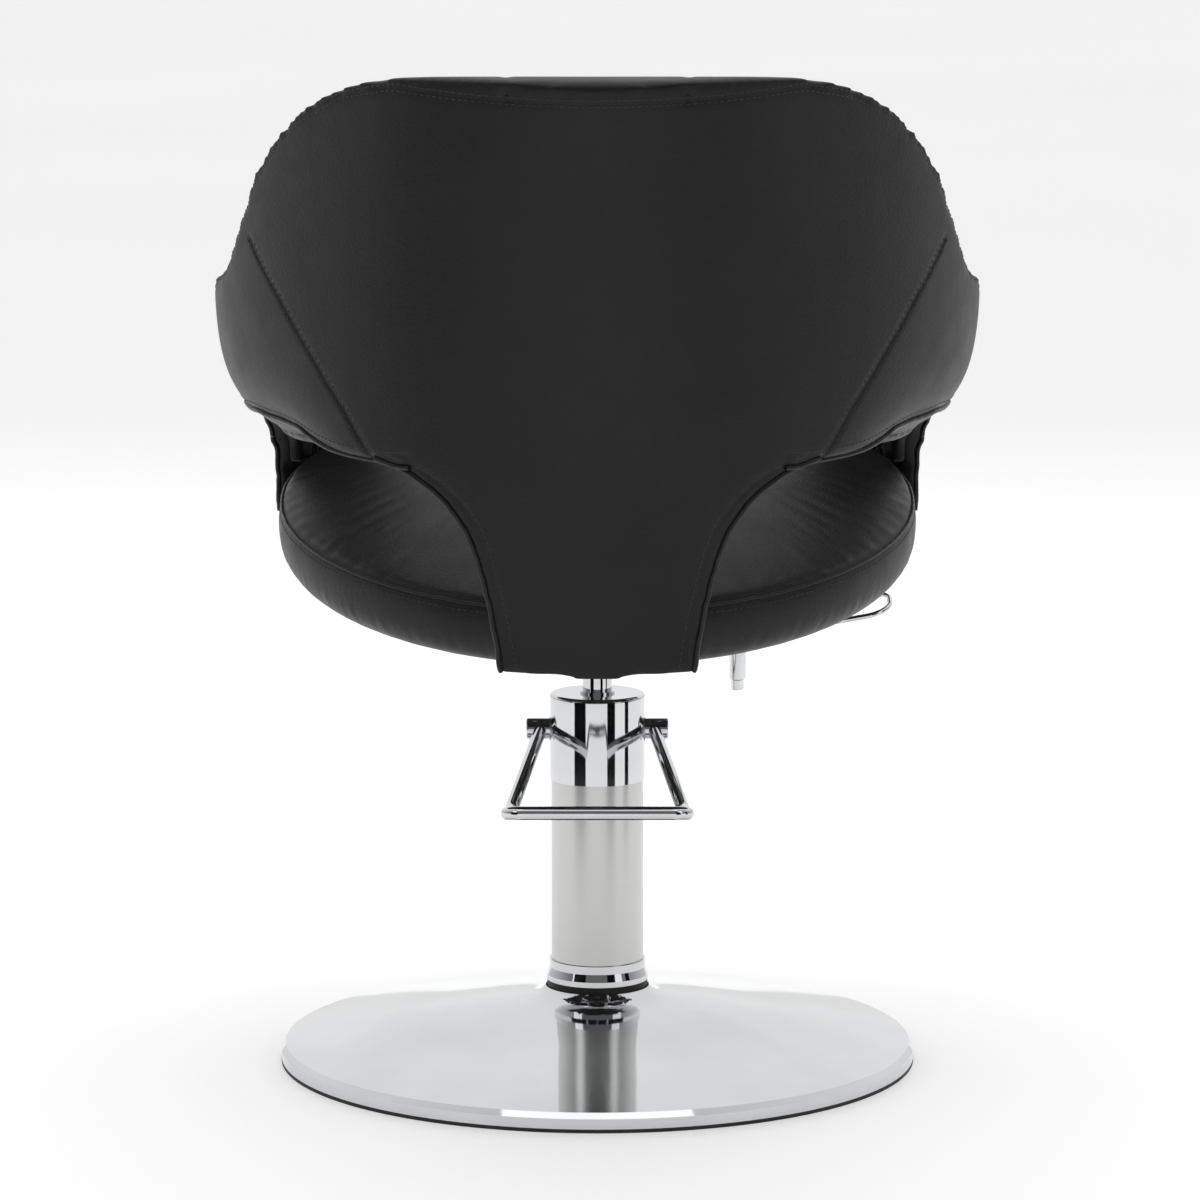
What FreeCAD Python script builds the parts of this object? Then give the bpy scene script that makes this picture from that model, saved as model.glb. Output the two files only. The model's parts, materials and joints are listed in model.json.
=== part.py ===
"""Styling chair: hydraulic pump on a round chrome base, tilting round seat, barrel back with arms.

Frame: +Z up, origin on the floor at the centre of the base. The chair faces -Y, and the foot pedal
is behind it at +Y. The seat, the back and the arms are drawn level in a seat frame, whose origin is
the centre of the seat's top seam, and are then tilted back about the X axis. Millimetres throughout.
"""
import FreeCAD
import Part
import math
import os

from FreeCAD import Vector as V

# ---------------------------------------------------------------- driving dimensions
BASE_D = 600.0            # round floor plate
RIM_H = 3.5               # rubber ring under the base edge
LIP_H = 9.5               # upright chrome lip above the rubber ring
COVER_T = 1.5             # pressed chrome cover of the base
NECK_H = 70.0             # height of the cover's neck round the column
NECK_R = 49.0             # radius of the neck
PLATE_T = 8.0             # steel base plate under the cover
COLUMN_D = 87.0           # brushed sleeve
COLUMN_T = 2.0
COLUMN_TOP = 269.0        # where the head cover begins
FOOT_RING_H = 19.5        # flared chrome ring at the sleeve's foot
FOOT_RING_D = 96.0
GAP_RING_H = 6.5          # black sealing band under the foot ring
HEAD_D = 90.0             # chrome head cover of the pump
HEAD_H = 82.0
HEAD_T = 2.0
RAM_D = 28.0
RAM_OUT = 23.0            # bare length of the ram below the housing hub when fully down
LIFT_TRAVEL = 130.0
CYL_BORE = 52.0
CYL_WALL = 6.0
AXLE_DROP = 34.5          # pedal axle below the top of the head cover
PEDAL_AXLE_D = 20.0
PEDAL_AXLE_L = 134.0
PEDAL_ROD_D = 12.5
PEDAL_REACH = 249.0       # from the axle back to the cross bar
PEDAL_HALF = 82.0         # centre line of the cross bar's corner from the middle
PEDAL_DROP = 32.5         # cross bar below the axle
TILT_DEG = 12.0           # seat tilted back at rest
SEAT_Z = 539.0            # centre of the seat's top seam above the floor
SEAT_R = 300.0            # widest radius of the seat
SEAT_SEAM_R = 297.0
SEAT_DEPTH = 68.0         # from the top seam down to the underside
SEAT_CROWN = 46.0         # how far the middle of the cushion stands above the seam
SEAT_CORNER = 38.0        # rounding of the lower edge
COVER_SKIN = 2.0          # upholstery leather with its foam backing
BOARD_T = 12.0
BOARD_R = 250.0
CLOTH_T = 1.0             # dust cloth under the board
SHELL_GAP = 9.0           # between the seat's side and the moulded shell
CORE_T = 10.0             # moulded plywood shell
OUTER_PAD = 7.0           # padding and leather on the outside of the shell
INNER_PAD = 40.0          # cushions on the inside of the back and the arms
ARM_HALF = 352.0          # outside of the arms from the middle
BACK_TOP = 505.0          # top of the back above the seam plane
BACK_LEAN = 72.0          # how much further back the top of the back is than its foot
PANEL_HALF = 78.0         # half width of the middle cushion of the back
ARM_FRONT = 205.0         # front end of the arms ahead of the middle
LEG_W = 96.0              # width of the arm's front leg, seen from the side
LEG_FOOT = 58.0           # foot of legs and stem below the seam plane
POST_X = 133.0            # lever post to the sitter's right
POST_D = 16.0
POST_TIP_D = 12.4
POST_DROP = 82.0          # foot of the post below the tilt axle
POST_CAP_H = 10.0
CAM_PIN_D = 4.0
LOCK_EYE_H = 6.0
LOOP_WIRE_D = 5.0
LOOP_DROP = 38.0          # loop handle below the tilt axle at the sleeve
LOOP_RISE = 42.0
LOOP_REACH = 143.0        # from the post out to the end of the loop handle
LOOP_HALF = 27.0          # half width of the loop handle

# ---------------------------------------------------------------- clearances
SLIP = 0.3                # between surfaces that only lie beside each other
RUN = 0.05                # radial running clearance of shafts
MOVE = 2.0                # between parts that pass each other
GLUE = 0.1                # between padding and the shell under it
STRAP_GAP = 3.0           # between a flat strap and the round shell outside it

# ---------------------------------------------------------------- sizes of the working parts
HEAD_SKIRT = 34.0         # part of the pump head inside the sleeve
PLUNGER_D = 10.0
PLUNGER_Y = 27.0          # plunger behind the ram
PLUNGER_WIRE = 1.5
PLUNGER_HEAD_R = 8.0
PLUNGER_HEAD_H = 3.0
PEDAL_SWING = 22.0        # degrees from rest down to the stop
YOKE_IN = 22.5            # inside of the yoke's lugs from the middle
YOKE_FRONT = 8.0          # lugs ahead of the axle
YOKE_BAR_D = 10.0
YOKE_ROOM = 4.0           # free space round the yoke inside the head
VALVE_Y = -28.0           # oil release valve ahead of the ram
VALVE_D = 8.0
VALVE_HEAD_D = 13.0
NECK_RING_R = 16.5        # neck of the head ring in the cover's hole
NECK_FLANGE_R = 18.0
FLANGE_R = 70.0
FLANGE_T = 12.0
FLANGE_BOLTS = 6
FLANGE_BOLT_R = 55.0
BOLT_D = 10.0
BUSH_T = 3.0
PISTON_H = 34.0
BALL_D = 5.0
BALL_COUNT = 10
RACE_T = 3.0
HUB_D = 52.0
HUB_H = 23.0
RAM_THREAD_D = 20.0
NUT_AF = 30.0
NUT_H = 11.0
CHANNEL_T = 5.0
CHANNEL_HALF_X = 50.0
CHANNEL_HALF_Y = 70.0
AXLE_OVER_CHANNEL = 22.0  # tilt axle above the channel's floor
TILT_AXLE_D = 12.0
TILT_BUSH_T = 1.5
EAR_T = 5.0
EAR_END_R = 16.0
EAR_W = 60.0
SEAT_PLATE_T = 5.0
SEAT_PLATE_X = 190.0
SEAT_PLATE_Y = 200.0
SCREW_D = 6.0
SCREW_HEAD_D = 12.0
SCREW_HEAD_H = 4.0
LOCK_D = 6.0
LOCK_ARM = 40.0           # clamp bolt ahead of the tilt axle
LOCK_HEAD_D = 14.0
CAM_THROW = 11.0          # eccentric pin of the lever from its post
CAM_H = 5.0
LEVER_PIN_D = 10.0        # post inside the lever's sleeve
POST_BRACKET_T = 4.0
SPRING_WIRE = 2.5
STRAP_T = 4.0
STRAP_W = 60.0
LEG_STRAP_W = 36.0
BUFFER_D = 18.0
BUFFER_H = 10.0
BUFFER_Y = 56.0
SPRING_R = 11.0           # mean radius of the springs round the tilt axle
SPRING_L = 20.0
INSERT_D = 10.0           # threaded inserts in the board
SCREW_L = 16.0
SCREW_INSET = 14.0        # corner screws from the edges of the seat plate
SHELL_SCREW_T = (-25.0, -11.0)    # heights of the screws that join shell and straps
EDGE_FOLD = 6.0           # padding folded over the edges of the shell
ARM_END_PAD = 18.0        # cushion at the front ends of the arms
STRAP_TOP = -4.0          # upper end of the straps
STRAP_START = 90.0        # inner end of the straps from the rim of the board

# ---------------------------------------------------------------- curves of back, arms and legs
SHELL_PLAN = (            # height, share of the widening, share of the lean, centre of the arc
    (-LEG_FOOT - 12.0, 0.0, 0.0, 0.0),
    (0.0, 0.0, 0.0, 0.0),
    (60.0, 0.55, 0.08, 8.0),
    (150.0, 1.0, 0.20, 15.0),
    (250.0, 1.0, 0.36, 20.0),
    (380.0, 0.731, 0.64, 25.0),
    (BACK_TOP + 15.0, 0.154, 1.0, 30.0))
CREST = ((440.0, 0.0), (340.0, 1.0), (300.0, 20.0), (234.0, 74.0), (172.0, 154.0), (118.0, 236.0),
         (40.0, 276.0))   # side view of the upper edge: y, depth below the top of the back
ARM_CORNER = ((60.0, 316.0), (14.0, 344.0), (0.0, 400.0))   # behind the arm's front, below the top
LEG_RAKE = 14.0           # foot of the legs behind their upper end
UNDER_LEG = ((4.0, 20.0), (34.0, 66.0))     # opening: behind the leg's rear edge, height
UNDER_ARM = ((40.0, 88.0), (207.0, 121.0), (420.0, 139.0))  # opening: y, height
STEM = ((88.0, -LEG_FOOT - 20.0), (97.0, -5.0), (110.0, 55.0), (133.0, 101.0), (168.0, 127.0),
        (230.0, 140.0))   # half width of the stem below the back, height
STEM_FRONT = 150.0        # the stem's outline cuts only behind here
FAR = 700.0               # reach of cutting shapes past everything they cut

# ---------------------------------------------------------------- derived places
RAIL_R = BASE_D / 2
PLATE_Z = RIM_H
FLANGE_Z = PLATE_Z + PLATE_T
RING_Z = NECK_H + GAP_RING_H
HEAD_TOP = COLUMN_TOP + HEAD_H
PEDAL_Z = HEAD_TOP - AXLE_DROP
HUB_Z = HEAD_TOP + RAM_OUT
CHANNEL_Z = HUB_Z + HUB_H
TILT_Z = CHANNEL_Z + CHANNEL_T + AXLE_OVER_CHANNEL
TILT = math.radians(TILT_DEG)
CYL_Z = FLANGE_Z + FLANGE_T
CYL_TOP = COLUMN_TOP - HEAD_SKIRT
PISTON_Z = CYL_Z + 14.0
SPRING_Z = PEDAL_Z - 42.0                         # foot of the plunger's spring
PLUNGER_FOOT = CYL_TOP + 20.0
PLUNGER_ROOM = PLUNGER_Y * math.radians(PEDAL_SWING) + 2.0      # depth its pocket leaves under it
AXLE_BUSH_R = PEDAL_AXLE_D / 2 + 2.0              # outside of the pedal axle's bushes
UNDER = -(SEAT_DEPTH + CLOTH_T)                   # underside of the upholstered seat
PLATE_TOP = UNDER - SLIP
PLATE_BOTTOM = PLATE_TOP - SEAT_PLATE_T
AXLE_Y = (SEAT_Z - TILT_Z) * math.sin(TILT)       # tilt axle in the seat frame
AXLE_T = -(SEAT_Z - TILT_Z) * math.cos(TILT)
CORE_IN = SEAT_R + SHELL_GAP
FOOT_R = CORE_IN + CORE_T + OUTER_PAD             # outside of the shell at its foot
SIDE_SEAM_LOW = (199.0, 134.0)                    # seam between back and arm covers, (x, t)
SIDE_SEAM_HIGH = (309.0, 307.0)
ARM_BACK = 150.0                                  # ahead of here everything belongs to the arms


# ---------------------------------------------------------------- helpers
def cyl(radius, height, z=0.0, x=0.0, y=0.0):
    """Upright cylinder standing at height z."""
    return Part.makeCylinder(radius, height, V(x, y, z), V(0, 0, 1))


def rod_x(radius, x0, x1, y, z):
    """Cylinder along X from x0 to x1."""
    return Part.makeCylinder(radius, x1 - x0, V(x0, y, z), V(1, 0, 0))


def box(x0, x1, y0, y1, z0, z1):
    """Box between two corners."""
    return Part.makeBox(x1 - x0, y1 - y0, z1 - z0, V(x0, y0, z0))


def tube(outer, inner, height, z=0.0, x=0.0, y=0.0):
    """Upright tube."""
    return cyl(outer, height, z, x, y).cut(cyl(inner, height + 2, z - 1, x, y))


def revolve(edges):
    """Full turn about Z of a closed wire drawn in the XZ plane."""
    face = Part.Face(Part.Wire(Part.__sortEdges__(edges)))
    return face.revolve(V(0, 0, 0), V(0, 0, 1), 360)


def polyline(points):
    """Closed run of straight edges through points."""
    ring = list(points) + [points[0]]
    return [Part.makeLine(a, b) for a, b in zip(ring, ring[1:])]


def spline(points):
    """Smooth edge through points."""
    curve = Part.BSplineCurve()
    curve.interpolate(points)
    return curve.toShape()


def lathe(points):
    """Solid of revolution of straight (r, z) runs."""
    return revolve(polyline([V(r, 0, z) for r, z in points]))


def prism(edges, direction):
    """Closed wire pushed along direction."""
    return Part.Face(Part.Wire(Part.__sortEdges__(edges))).extrude(direction)


def hexagon(across, height, z, x=0.0, y=0.0):
    """Upright hexagonal prism."""
    corner = across / math.sqrt(3)
    ring = [V(x + corner * math.cos(math.radians(60 * k)), y + corner * math.sin(math.radians(60 * k)), z)
            for k in range(6)]
    return prism(polyline(ring), V(0, 0, height))


def bent_path(points, radii):
    """Open wire of straight runs joined by tangent arcs of the given radii."""
    edges = []
    start = points[0]
    for i in range(1, len(points) - 1):
        corner = points[i]
        to_last = (points[i - 1] - corner).normalize()
        to_next = (points[i + 1] - corner).normalize()
        half = to_last.getAngle(to_next) / 2
        reach = radii[i - 1] / math.tan(half)
        first = corner + to_last * reach
        last = corner + to_next * reach
        toward = (to_last + to_next).normalize()
        centre = corner + toward * (radii[i - 1] / math.sin(half))
        middle = centre - toward * radii[i - 1]
        edges.append(Part.makeLine(start, first))
        edges.append(Part.Arc(first, middle, last).toShape())
        start = last
    edges.append(Part.makeLine(start, points[-1]))
    return Part.Wire(edges)


def wire_rod(points, radii, diameter):
    """Round rod bent along points."""
    path = bent_path(points, radii)
    ring = Part.Wire(Part.makeCircle(diameter / 2, points[0], points[1] - points[0]))
    return path.makePipeShell([ring], True, True)


def coil(mean_r, wire_d, length, turns):
    """Helical spring standing on Z = 0."""
    helix = Part.makeHelix(length / turns, length, mean_r)
    ring = Part.Wire(Part.makeCircle(wire_d / 2, V(mean_r, 0, 0), V(0, 1, 0)))
    return Part.Wire(helix.Edges).makePipeShell([ring], True, True)


def tilted(shape):
    """Seat frame to chair frame."""
    moved = shape.copy()
    moved.rotate(V(0, 0, 0), V(1, 0, 0), -TILT_DEG)
    moved.translate(V(0, 0, SEAT_Z))
    return moved


def mirrored(shape):
    """The same piece on the other side."""
    return shape.mirror(V(0, 0, 0), V(1, 0, 0))


def save(name, *shapes):
    """Writes one node."""
    solids = [s for shape in shapes for s in shape.Solids]
    whole = solids[0] if len(solids) == 1 else Part.makeCompound(solids)
    whole.exportStep("parts/" + name + ".step")


# ---------------------------------------------------------------- base and column
def base_parts():
    """Rubber ring, steel plate, chrome cover and the bolts of the pump's flange."""
    save("base_edge_ring", tube(RAIL_R, RAIL_R - 16, RIM_H))
    plate = cyl(RAIL_R - COVER_T - SLIP, PLATE_T, PLATE_Z)
    holes = [cyl(BOLT_D / 2, PLATE_T + 2, PLATE_Z - 1, x, y) for x, y in flange_places()]
    save("base_plate", plate.cut(Part.makeCompound(holes)))
    save("base_cover", base_cover())
    save("flange_bolts", *[flange_bolt(x, y) for x, y in flange_places()])


def base_cover():
    """Pressed trumpet: upright lip, shallow concave cone and a neck round the column."""
    lip_z = RIM_H + LIP_H
    rise = NECK_H - lip_z

    def slope(drop):
        knots = ((0.986, 0.09), (0.83, 0.24), (0.62, 0.44), (0.42, 0.64), (0.25, 0.79), (0.175, 0.93))
        line = [V(RAIL_R * f, 0, lip_z + rise * k - drop) for f, k in knots]
        return line + [V(NECK_R, 0, NECK_H - drop)]

    outer = spline(slope(0.0))
    inner = spline(slope(COVER_T))
    rim = slope(0.0)[0]
    rim_in = slope(COVER_T)[0]
    walls = [V(RAIL_R, 0, RIM_H), V(RAIL_R, 0, lip_z), rim]
    inside = [rim_in, V(RAIL_R - COVER_T, 0, lip_z - COVER_T), V(RAIL_R - COVER_T, 0, RIM_H)]
    edges = [outer, inner]
    edges += [Part.makeLine(a, b) for a, b in zip(walls, walls[1:])]
    edges += [Part.makeLine(a, b) for a, b in zip(inside, inside[1:])]
    edges.append(Part.makeLine(inside[-1], walls[0]))
    edges.append(Part.makeLine(slope(0.0)[-1], slope(COVER_T)[-1]))
    return revolve(edges)


def flange_places():
    """Bolt places on the pump's foot flange."""
    turns = [2 * math.pi * k / FLANGE_BOLTS for k in range(FLANGE_BOLTS)]
    return [(FLANGE_BOLT_R * math.cos(a), FLANGE_BOLT_R * math.sin(a)) for a in turns]


def flange_bolt(x, y):
    """Hexagon bolt down through the flange into the base plate."""
    shank = cyl(BOLT_D / 2, FLANGE_T + PLATE_T - 1, PLATE_Z + 1, x, y)
    return shank.fuse(hexagon(16.0, 6.0, FLANGE_Z + FLANGE_T, x, y))


def column_parts():
    """Sealing band, flared foot ring and brushed sleeve."""
    inner = COLUMN_D / 2 - COLUMN_T
    save("gap_ring", tube(FOOT_RING_D / 2 - 0.5, inner, GAP_RING_H, NECK_H))
    ring_in = COLUMN_D / 2
    low = FOOT_RING_D / 2
    high = ring_in + 2.0
    top = RING_Z + FOOT_RING_H
    save("column_foot_ring", lathe([(ring_in, RING_Z), (low, RING_Z), (low, RING_Z + 5.0),
                                    (high, RING_Z + 12.0), (high, top), (ring_in, top)]))
    save("column_tube", tube(ring_in, inner, COLUMN_TOP - RING_Z, RING_Z))


# ---------------------------------------------------------------- pump
def pump_parts():
    """Fixed parts of the hydraulic pump inside the column."""
    bore = CYL_BORE / 2
    outer = bore + CYL_WALL
    flange = cyl(FLANGE_R, FLANGE_T, FLANGE_Z)
    holes = [cyl(BOLT_D / 2, FLANGE_T + 2, FLANGE_Z - 1, x, y) for x, y in flange_places()]
    save("pump_flange", flange.cut(Part.makeCompound(holes)))
    floor = 6.0
    barrel = cyl(outer, CYL_TOP - CYL_Z, CYL_Z).cut(cyl(bore, CYL_TOP, CYL_Z + floor))
    save("pump_cylinder", barrel)
    save("pump_head", pump_head())
    save("head_cover", head_cover())
    bush_r = RAM_D / 2 + BUSH_T
    save("ram_bush", tube(bush_r, RAM_D / 2 + RUN, 40.0, CYL_TOP + 4.0))
    save("ram_wiper", tube(bush_r, RAM_D / 2 + RUN, 8.0, HEAD_TOP - HEAD_T - 12.0))
    neck = tube(NECK_RING_R, RAM_D / 2 + 2 * RUN, HEAD_T + 2.0, HEAD_TOP - HEAD_T)
    flange = tube(NECK_FLANGE_R, RAM_D / 2 + 2 * RUN, 2.0, HEAD_TOP - HEAD_T - 2.0)
    save("head_ring", neck.fuse(flange))
    bush_len = 12.0
    bush_in = HEAD_D / 2 - bush_len
    wall = [tube(AXLE_BUSH_R, PEDAL_AXLE_D / 2 + RUN, bush_len) for _ in range(2)]
    for bush, side in zip(wall, (1, -1)):
        bush.rotate(V(0, 0, 0), V(0, 1, 0), 90 * side)
        bush.translate(V(side * bush_in, 0, PEDAL_Z))
    save("axle_bushes", *wall)
    save("release_valve", release_valve(6.0))


def head_cavity():
    """Room for the swing of the pedal's yoke, which also runs round the ram."""
    half = YOKE_IN + EAR_T + YOKE_ROOM
    reach = YOKE_BAR_D / 2 + YOKE_ROOM
    drop = PLUNGER_Y * math.sin(math.radians(PEDAL_SWING))
    low = PEDAL_Z - drop - reach - YOKE_ROOM
    high = PEDAL_Z + PEDAL_AXLE_D / 2 + YOKE_ROOM
    return box(-half, half, -YOKE_FRONT - YOKE_ROOM, PLUNGER_Y + reach, low, high)


def release_valve(head_h):
    """Stem and head of the oil release valve, the head head_h high."""
    foot = PEDAL_Z - 52.0
    stem_h = 20.0
    stem = cyl(VALVE_D / 2, stem_h, foot, 0, VALVE_Y)
    return stem.fuse(cyl(VALVE_HEAD_D / 2, head_h, foot + stem_h - 1.0, 0, VALVE_Y))


def pump_head():
    """Cast block that closes the cylinder and carries the ram bush, the plunger and the pedal."""
    block_r = HEAD_D / 2 - HEAD_T - SLIP
    top = HEAD_TOP - HEAD_T - SLIP
    skirt_r = COLUMN_D / 2 - COLUMN_T - SLIP
    block = cyl(block_r, top - COLUMN_TOP, COLUMN_TOP).fuse(cyl(skirt_r, HEAD_SKIRT, CYL_TOP))
    block = block.cut(cyl(RAM_D / 2 + BUSH_T, top, CYL_TOP - 1))
    block = block.cut(rod_x(AXLE_BUSH_R, -block_r - 2, block_r + 2, 0, PEDAL_Z))
    block = block.cut(head_cavity())
    block = block.cut(cyl(PLUNGER_D / 2 + RUN, PEDAL_Z, PLUNGER_FOOT - PLUNGER_ROOM, 0, PLUNGER_Y))
    block = block.cut(cyl(PLUNGER_HEAD_R + 2 * SLIP, PEDAL_Z - SPRING_Z, SPRING_Z, 0, PLUNGER_Y))
    block = block.cut(cyl(NECK_FLANGE_R, top, top - 2.0))
    return block.cut(release_valve(HEAD_H))


def head_cover():
    """Deep chrome cap over the head, with a hole for the ram and one each side for the axle."""
    r = HEAD_D / 2
    shell = cyl(r, HEAD_H, COLUMN_TOP)
    shell = shell.makeFillet(3.5, [e for e in shell.Edges if e.BoundBox.ZMin > HEAD_TOP - 1])
    shell = shell.cut(cyl(r - HEAD_T, HEAD_H - HEAD_T, COLUMN_TOP))
    shell = shell.cut(cyl(NECK_RING_R, HEAD_H, COLUMN_TOP))
    return shell.cut(rod_x(AXLE_BUSH_R, -r - 5, r + 5, 0, PEDAL_Z))


def lift_parts():
    """Piston, its seal and the lower half of the thrust bearing that lets the ram turn."""
    bore = CYL_BORE / 2
    seat = PISTON_Z + PISTON_H - RACE_T - BALL_D - 8.0
    pocket = RAM_D / 2 + 4.0
    groove = tube(bore + 1, bore - 4.0, 6.0, PISTON_Z + 8.0)
    piston = cyl(bore - RUN, PISTON_H, PISTON_Z).cut(groove).cut(cyl(pocket, PISTON_H, seat))
    save("piston", piston)
    save("piston_seal", tube(bore - RUN, bore - 4.0 + 0.02, 5.6, PISTON_Z + 8.2))
    track = pocket - 4.0
    lower = tube(pocket - RUN, 6.0, RACE_T, seat)
    save("bearing_race", lower)
    balls = []
    for k in range(BALL_COUNT):
        a = 2 * math.pi * k / BALL_COUNT
        centre = V(track * math.cos(a), track * math.sin(a), seat + RACE_T + BALL_D / 2)
        balls.append(Part.makeSphere(BALL_D / 2, centre))
    save("bearing_balls", *balls)
    return seat + RACE_T + BALL_D + RUN


def ram_parts(ram_foot):
    """Chrome ram that slides in the bush and turns on the bearing."""
    shaft = cyl(RAM_D / 2, HUB_Z + HUB_H - ram_foot - 1.0, ram_foot)
    collar = cyl(RAM_D / 2 + 4.0 - MOVE / 4, 3.0, ram_foot)
    thread_top = CHANNEL_Z + CHANNEL_T + NUT_H + 1.0
    stud = cyl(RAM_THREAD_D / 2, thread_top - HUB_Z, HUB_Z)
    save("ram", shaft.fuse(collar).fuse(stud))


# ---------------------------------------------------------------- pedal
def pedal_parts():
    """U-shaped foot bar on two stub axles, with the yoke that works the plunger."""
    inner_end = YOKE_IN
    half = PEDAL_AXLE_L / 2
    stubs = [rod_x(PEDAL_AXLE_D / 2, inner_end, half, 0, PEDAL_Z),
             rod_x(PEDAL_AXLE_D / 2, -half, -inner_end, 0, PEDAL_Z)]
    stubs = [s.makeFillet(1.5, [e for e in s.Edges if abs(e.CenterOfMass.x) > half - 0.5]) for s in stubs]
    rod_start = PEDAL_AXLE_L / 2 - 14.0
    knee = PEDAL_REACH * 0.755
    corner_z = PEDAL_Z - PEDAL_DROP
    route = [V(-rod_start, 0, PEDAL_Z), V(-PEDAL_HALF + 2, knee, PEDAL_Z - PEDAL_DROP * 1.4),
             V(-PEDAL_HALF, PEDAL_REACH, corner_z), V(PEDAL_HALF, PEDAL_REACH, corner_z),
             V(PEDAL_HALF - 2, knee, PEDAL_Z - PEDAL_DROP * 1.4), V(rod_start, 0, PEDAL_Z)]
    bar = wire_rod(route, [60.0, 15.0, 15.0, 60.0], PEDAL_ROD_D)
    for stub in stubs:
        bar = bar.cut(stub)
    save("pedal_bar", max(bar.Solids, key=lambda s: s.Volume))
    save("pedal_axles", *stubs)
    save("pedal_yoke", pedal_yoke().cut(Part.makeCompound(stubs)))
    screws = []
    for side in (-1, 1):
        x = side * (half - 5.0)
        screws.append(cyl(2.5, 3.5, PEDAL_Z - PEDAL_AXLE_D / 2 - 2.5, x, 0.0))
    cut_screws = [s.cut(stubs[0]).cut(stubs[1]) for s in screws]
    save("axle_screws", *cut_screws)


def pedal_yoke():
    """Lug on each stub axle and the round bar between them that presses on the plunger."""
    r = YOKE_BAR_D / 2
    end = YOKE_IN + EAR_T
    yoke = rod_x(r, -end, end, PLUNGER_Y, PEDAL_Z)
    for x0 in (-end, YOKE_IN):
        yoke = yoke.fuse(box(x0, x0 + EAR_T, -YOKE_FRONT, PLUNGER_Y, PEDAL_Z - r, PEDAL_Z + r))
    return yoke


def plunger_parts():
    """Pump plunger under the yoke and the spring that brings the pedal back."""
    top = PEDAL_Z - YOKE_BAR_D / 2 - SLIP
    head = PLUNGER_HEAD_H
    shaft = cyl(PLUNGER_D / 2, top - PLUNGER_FOOT, PLUNGER_FOOT, 0, PLUNGER_Y)
    save("pump_plunger", shaft.fuse(cyl(PLUNGER_HEAD_R, head, top - head, 0, PLUNGER_Y)))
    mean = PLUNGER_D / 2 + PLUNGER_WIRE / 2 + 0.8
    length = top - head - SPRING_Z - PLUNGER_WIRE - 2 * SLIP
    spring = coil(mean, PLUNGER_WIRE, length, 6)
    spring.translate(V(0, PLUNGER_Y, SPRING_Z + PLUNGER_WIRE / 2 + SLIP))
    save("plunger_spring", spring)


# ---------------------------------------------------------------- tilt housing on the ram



def housing_parts():
    """Lower bracket fixed on the ram, its axle, bushes, nut, springs and rubber buffers."""
    save("tilt_housing", tilt_housing())
    save("ram_nut", hexagon(NUT_AF, NUT_H, CHANNEL_Z + CHANNEL_T).cut(
        cyl(RAM_THREAD_D / 2, 40.0, CHANNEL_Z)))
    half = CHANNEL_HALF_X + MOVE + EAR_T + 4.0
    axle = rod_x(TILT_AXLE_D / 2, -half, half, 0, TILT_Z)
    for x in (-half, half - 2.0):
        axle = axle.fuse(rod_x(TILT_AXLE_D / 2 + 2.5, x, x + 2.0, 0, TILT_Z))
    save("tilt_axle", axle)
    springs = []
    for side in (-1, 1):
        spring = coil(SPRING_R, SPRING_WIRE, SPRING_L, 5)
        spring.rotate(V(0, 0, 0), V(0, 1, 0), 90)
        near = CHANNEL_HALF_X - CHANNEL_T - SPRING_L - 4.0
        spring.translate(V(near if side > 0 else -near - SPRING_L, 0, TILT_Z))
        springs.append(spring)
    save("tilt_springs", *springs)
    rear_top, front_top = buffer_tops()
    save("tilt_buffers", cyl(BUFFER_D / 2, BUFFER_H, rear_top - BUFFER_H, 0, BUFFER_Y),
         cyl(BUFFER_D / 2, BUFFER_H, front_top - BUFFER_H, 0, -BUFFER_Y))


def buffer_tops():
    """Heights at which the seat plate meets the rear buffer at rest and the front one when level."""
    over = PLATE_BOTTOM - AXLE_T
    edge = BUFFER_Y + BUFFER_D / 2
    rear = TILT_Z + over / math.cos(TILT) - edge * math.tan(TILT) - SLIP
    front = TILT_Z + over - SLIP
    return rear, front


def cheek(x0, x1):
    """Side wall of the channel with its axle hole and the slot of the clamp bolt."""
    low = CHANNEL_Z + 1.0
    height = TILT_Z + 15.0
    wall = box(x0, x1, -CHANNEL_HALF_Y + 8, 26.0, low, TILT_Z).fuse(
        Part.makeCylinder(15.0, x1 - x0, V(x0, 0, TILT_Z), V(1, 0, 0)))
    wall = wall.fuse(box(x0, x1, -CHANNEL_HALF_Y + 8, 0, low, height))
    wall = wall.cut(rod_x(TILT_AXLE_D / 2, x0 - 1, x1 + 1, 0, TILT_Z))
    return wall.cut(arc_slot(x0 - 1, x1 + 1))


def arc_slot(x0, x1):
    """Slot about the tilt axle in which the clamp bolt travels."""
    half = LOCK_D / 2 + 2 * RUN

    def at(radius, turn):
        return V(x0, -radius * math.cos(turn), TILT_Z + radius * math.sin(turn))

    low = -half / LOCK_ARM
    high = TILT + half / LOCK_ARM
    far = LOCK_ARM + half
    near = LOCK_ARM - half
    outer = Part.Arc(at(far, 0), at(far, TILT / 2), at(far, TILT)).toShape()
    inner = Part.Arc(at(near, 0), at(near, TILT / 2), at(near, TILT)).toShape()
    foot_end = Part.Arc(at(LOCK_ARM + half, 0), at(LOCK_ARM, low), at(LOCK_ARM - half, 0)).toShape()
    head_end = Part.Arc(at(LOCK_ARM + half, TILT), at(LOCK_ARM, high), at(LOCK_ARM - half, TILT)).toShape()
    return prism([outer, inner, foot_end, head_end], V(x1 - x0, 0, 0))


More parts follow.
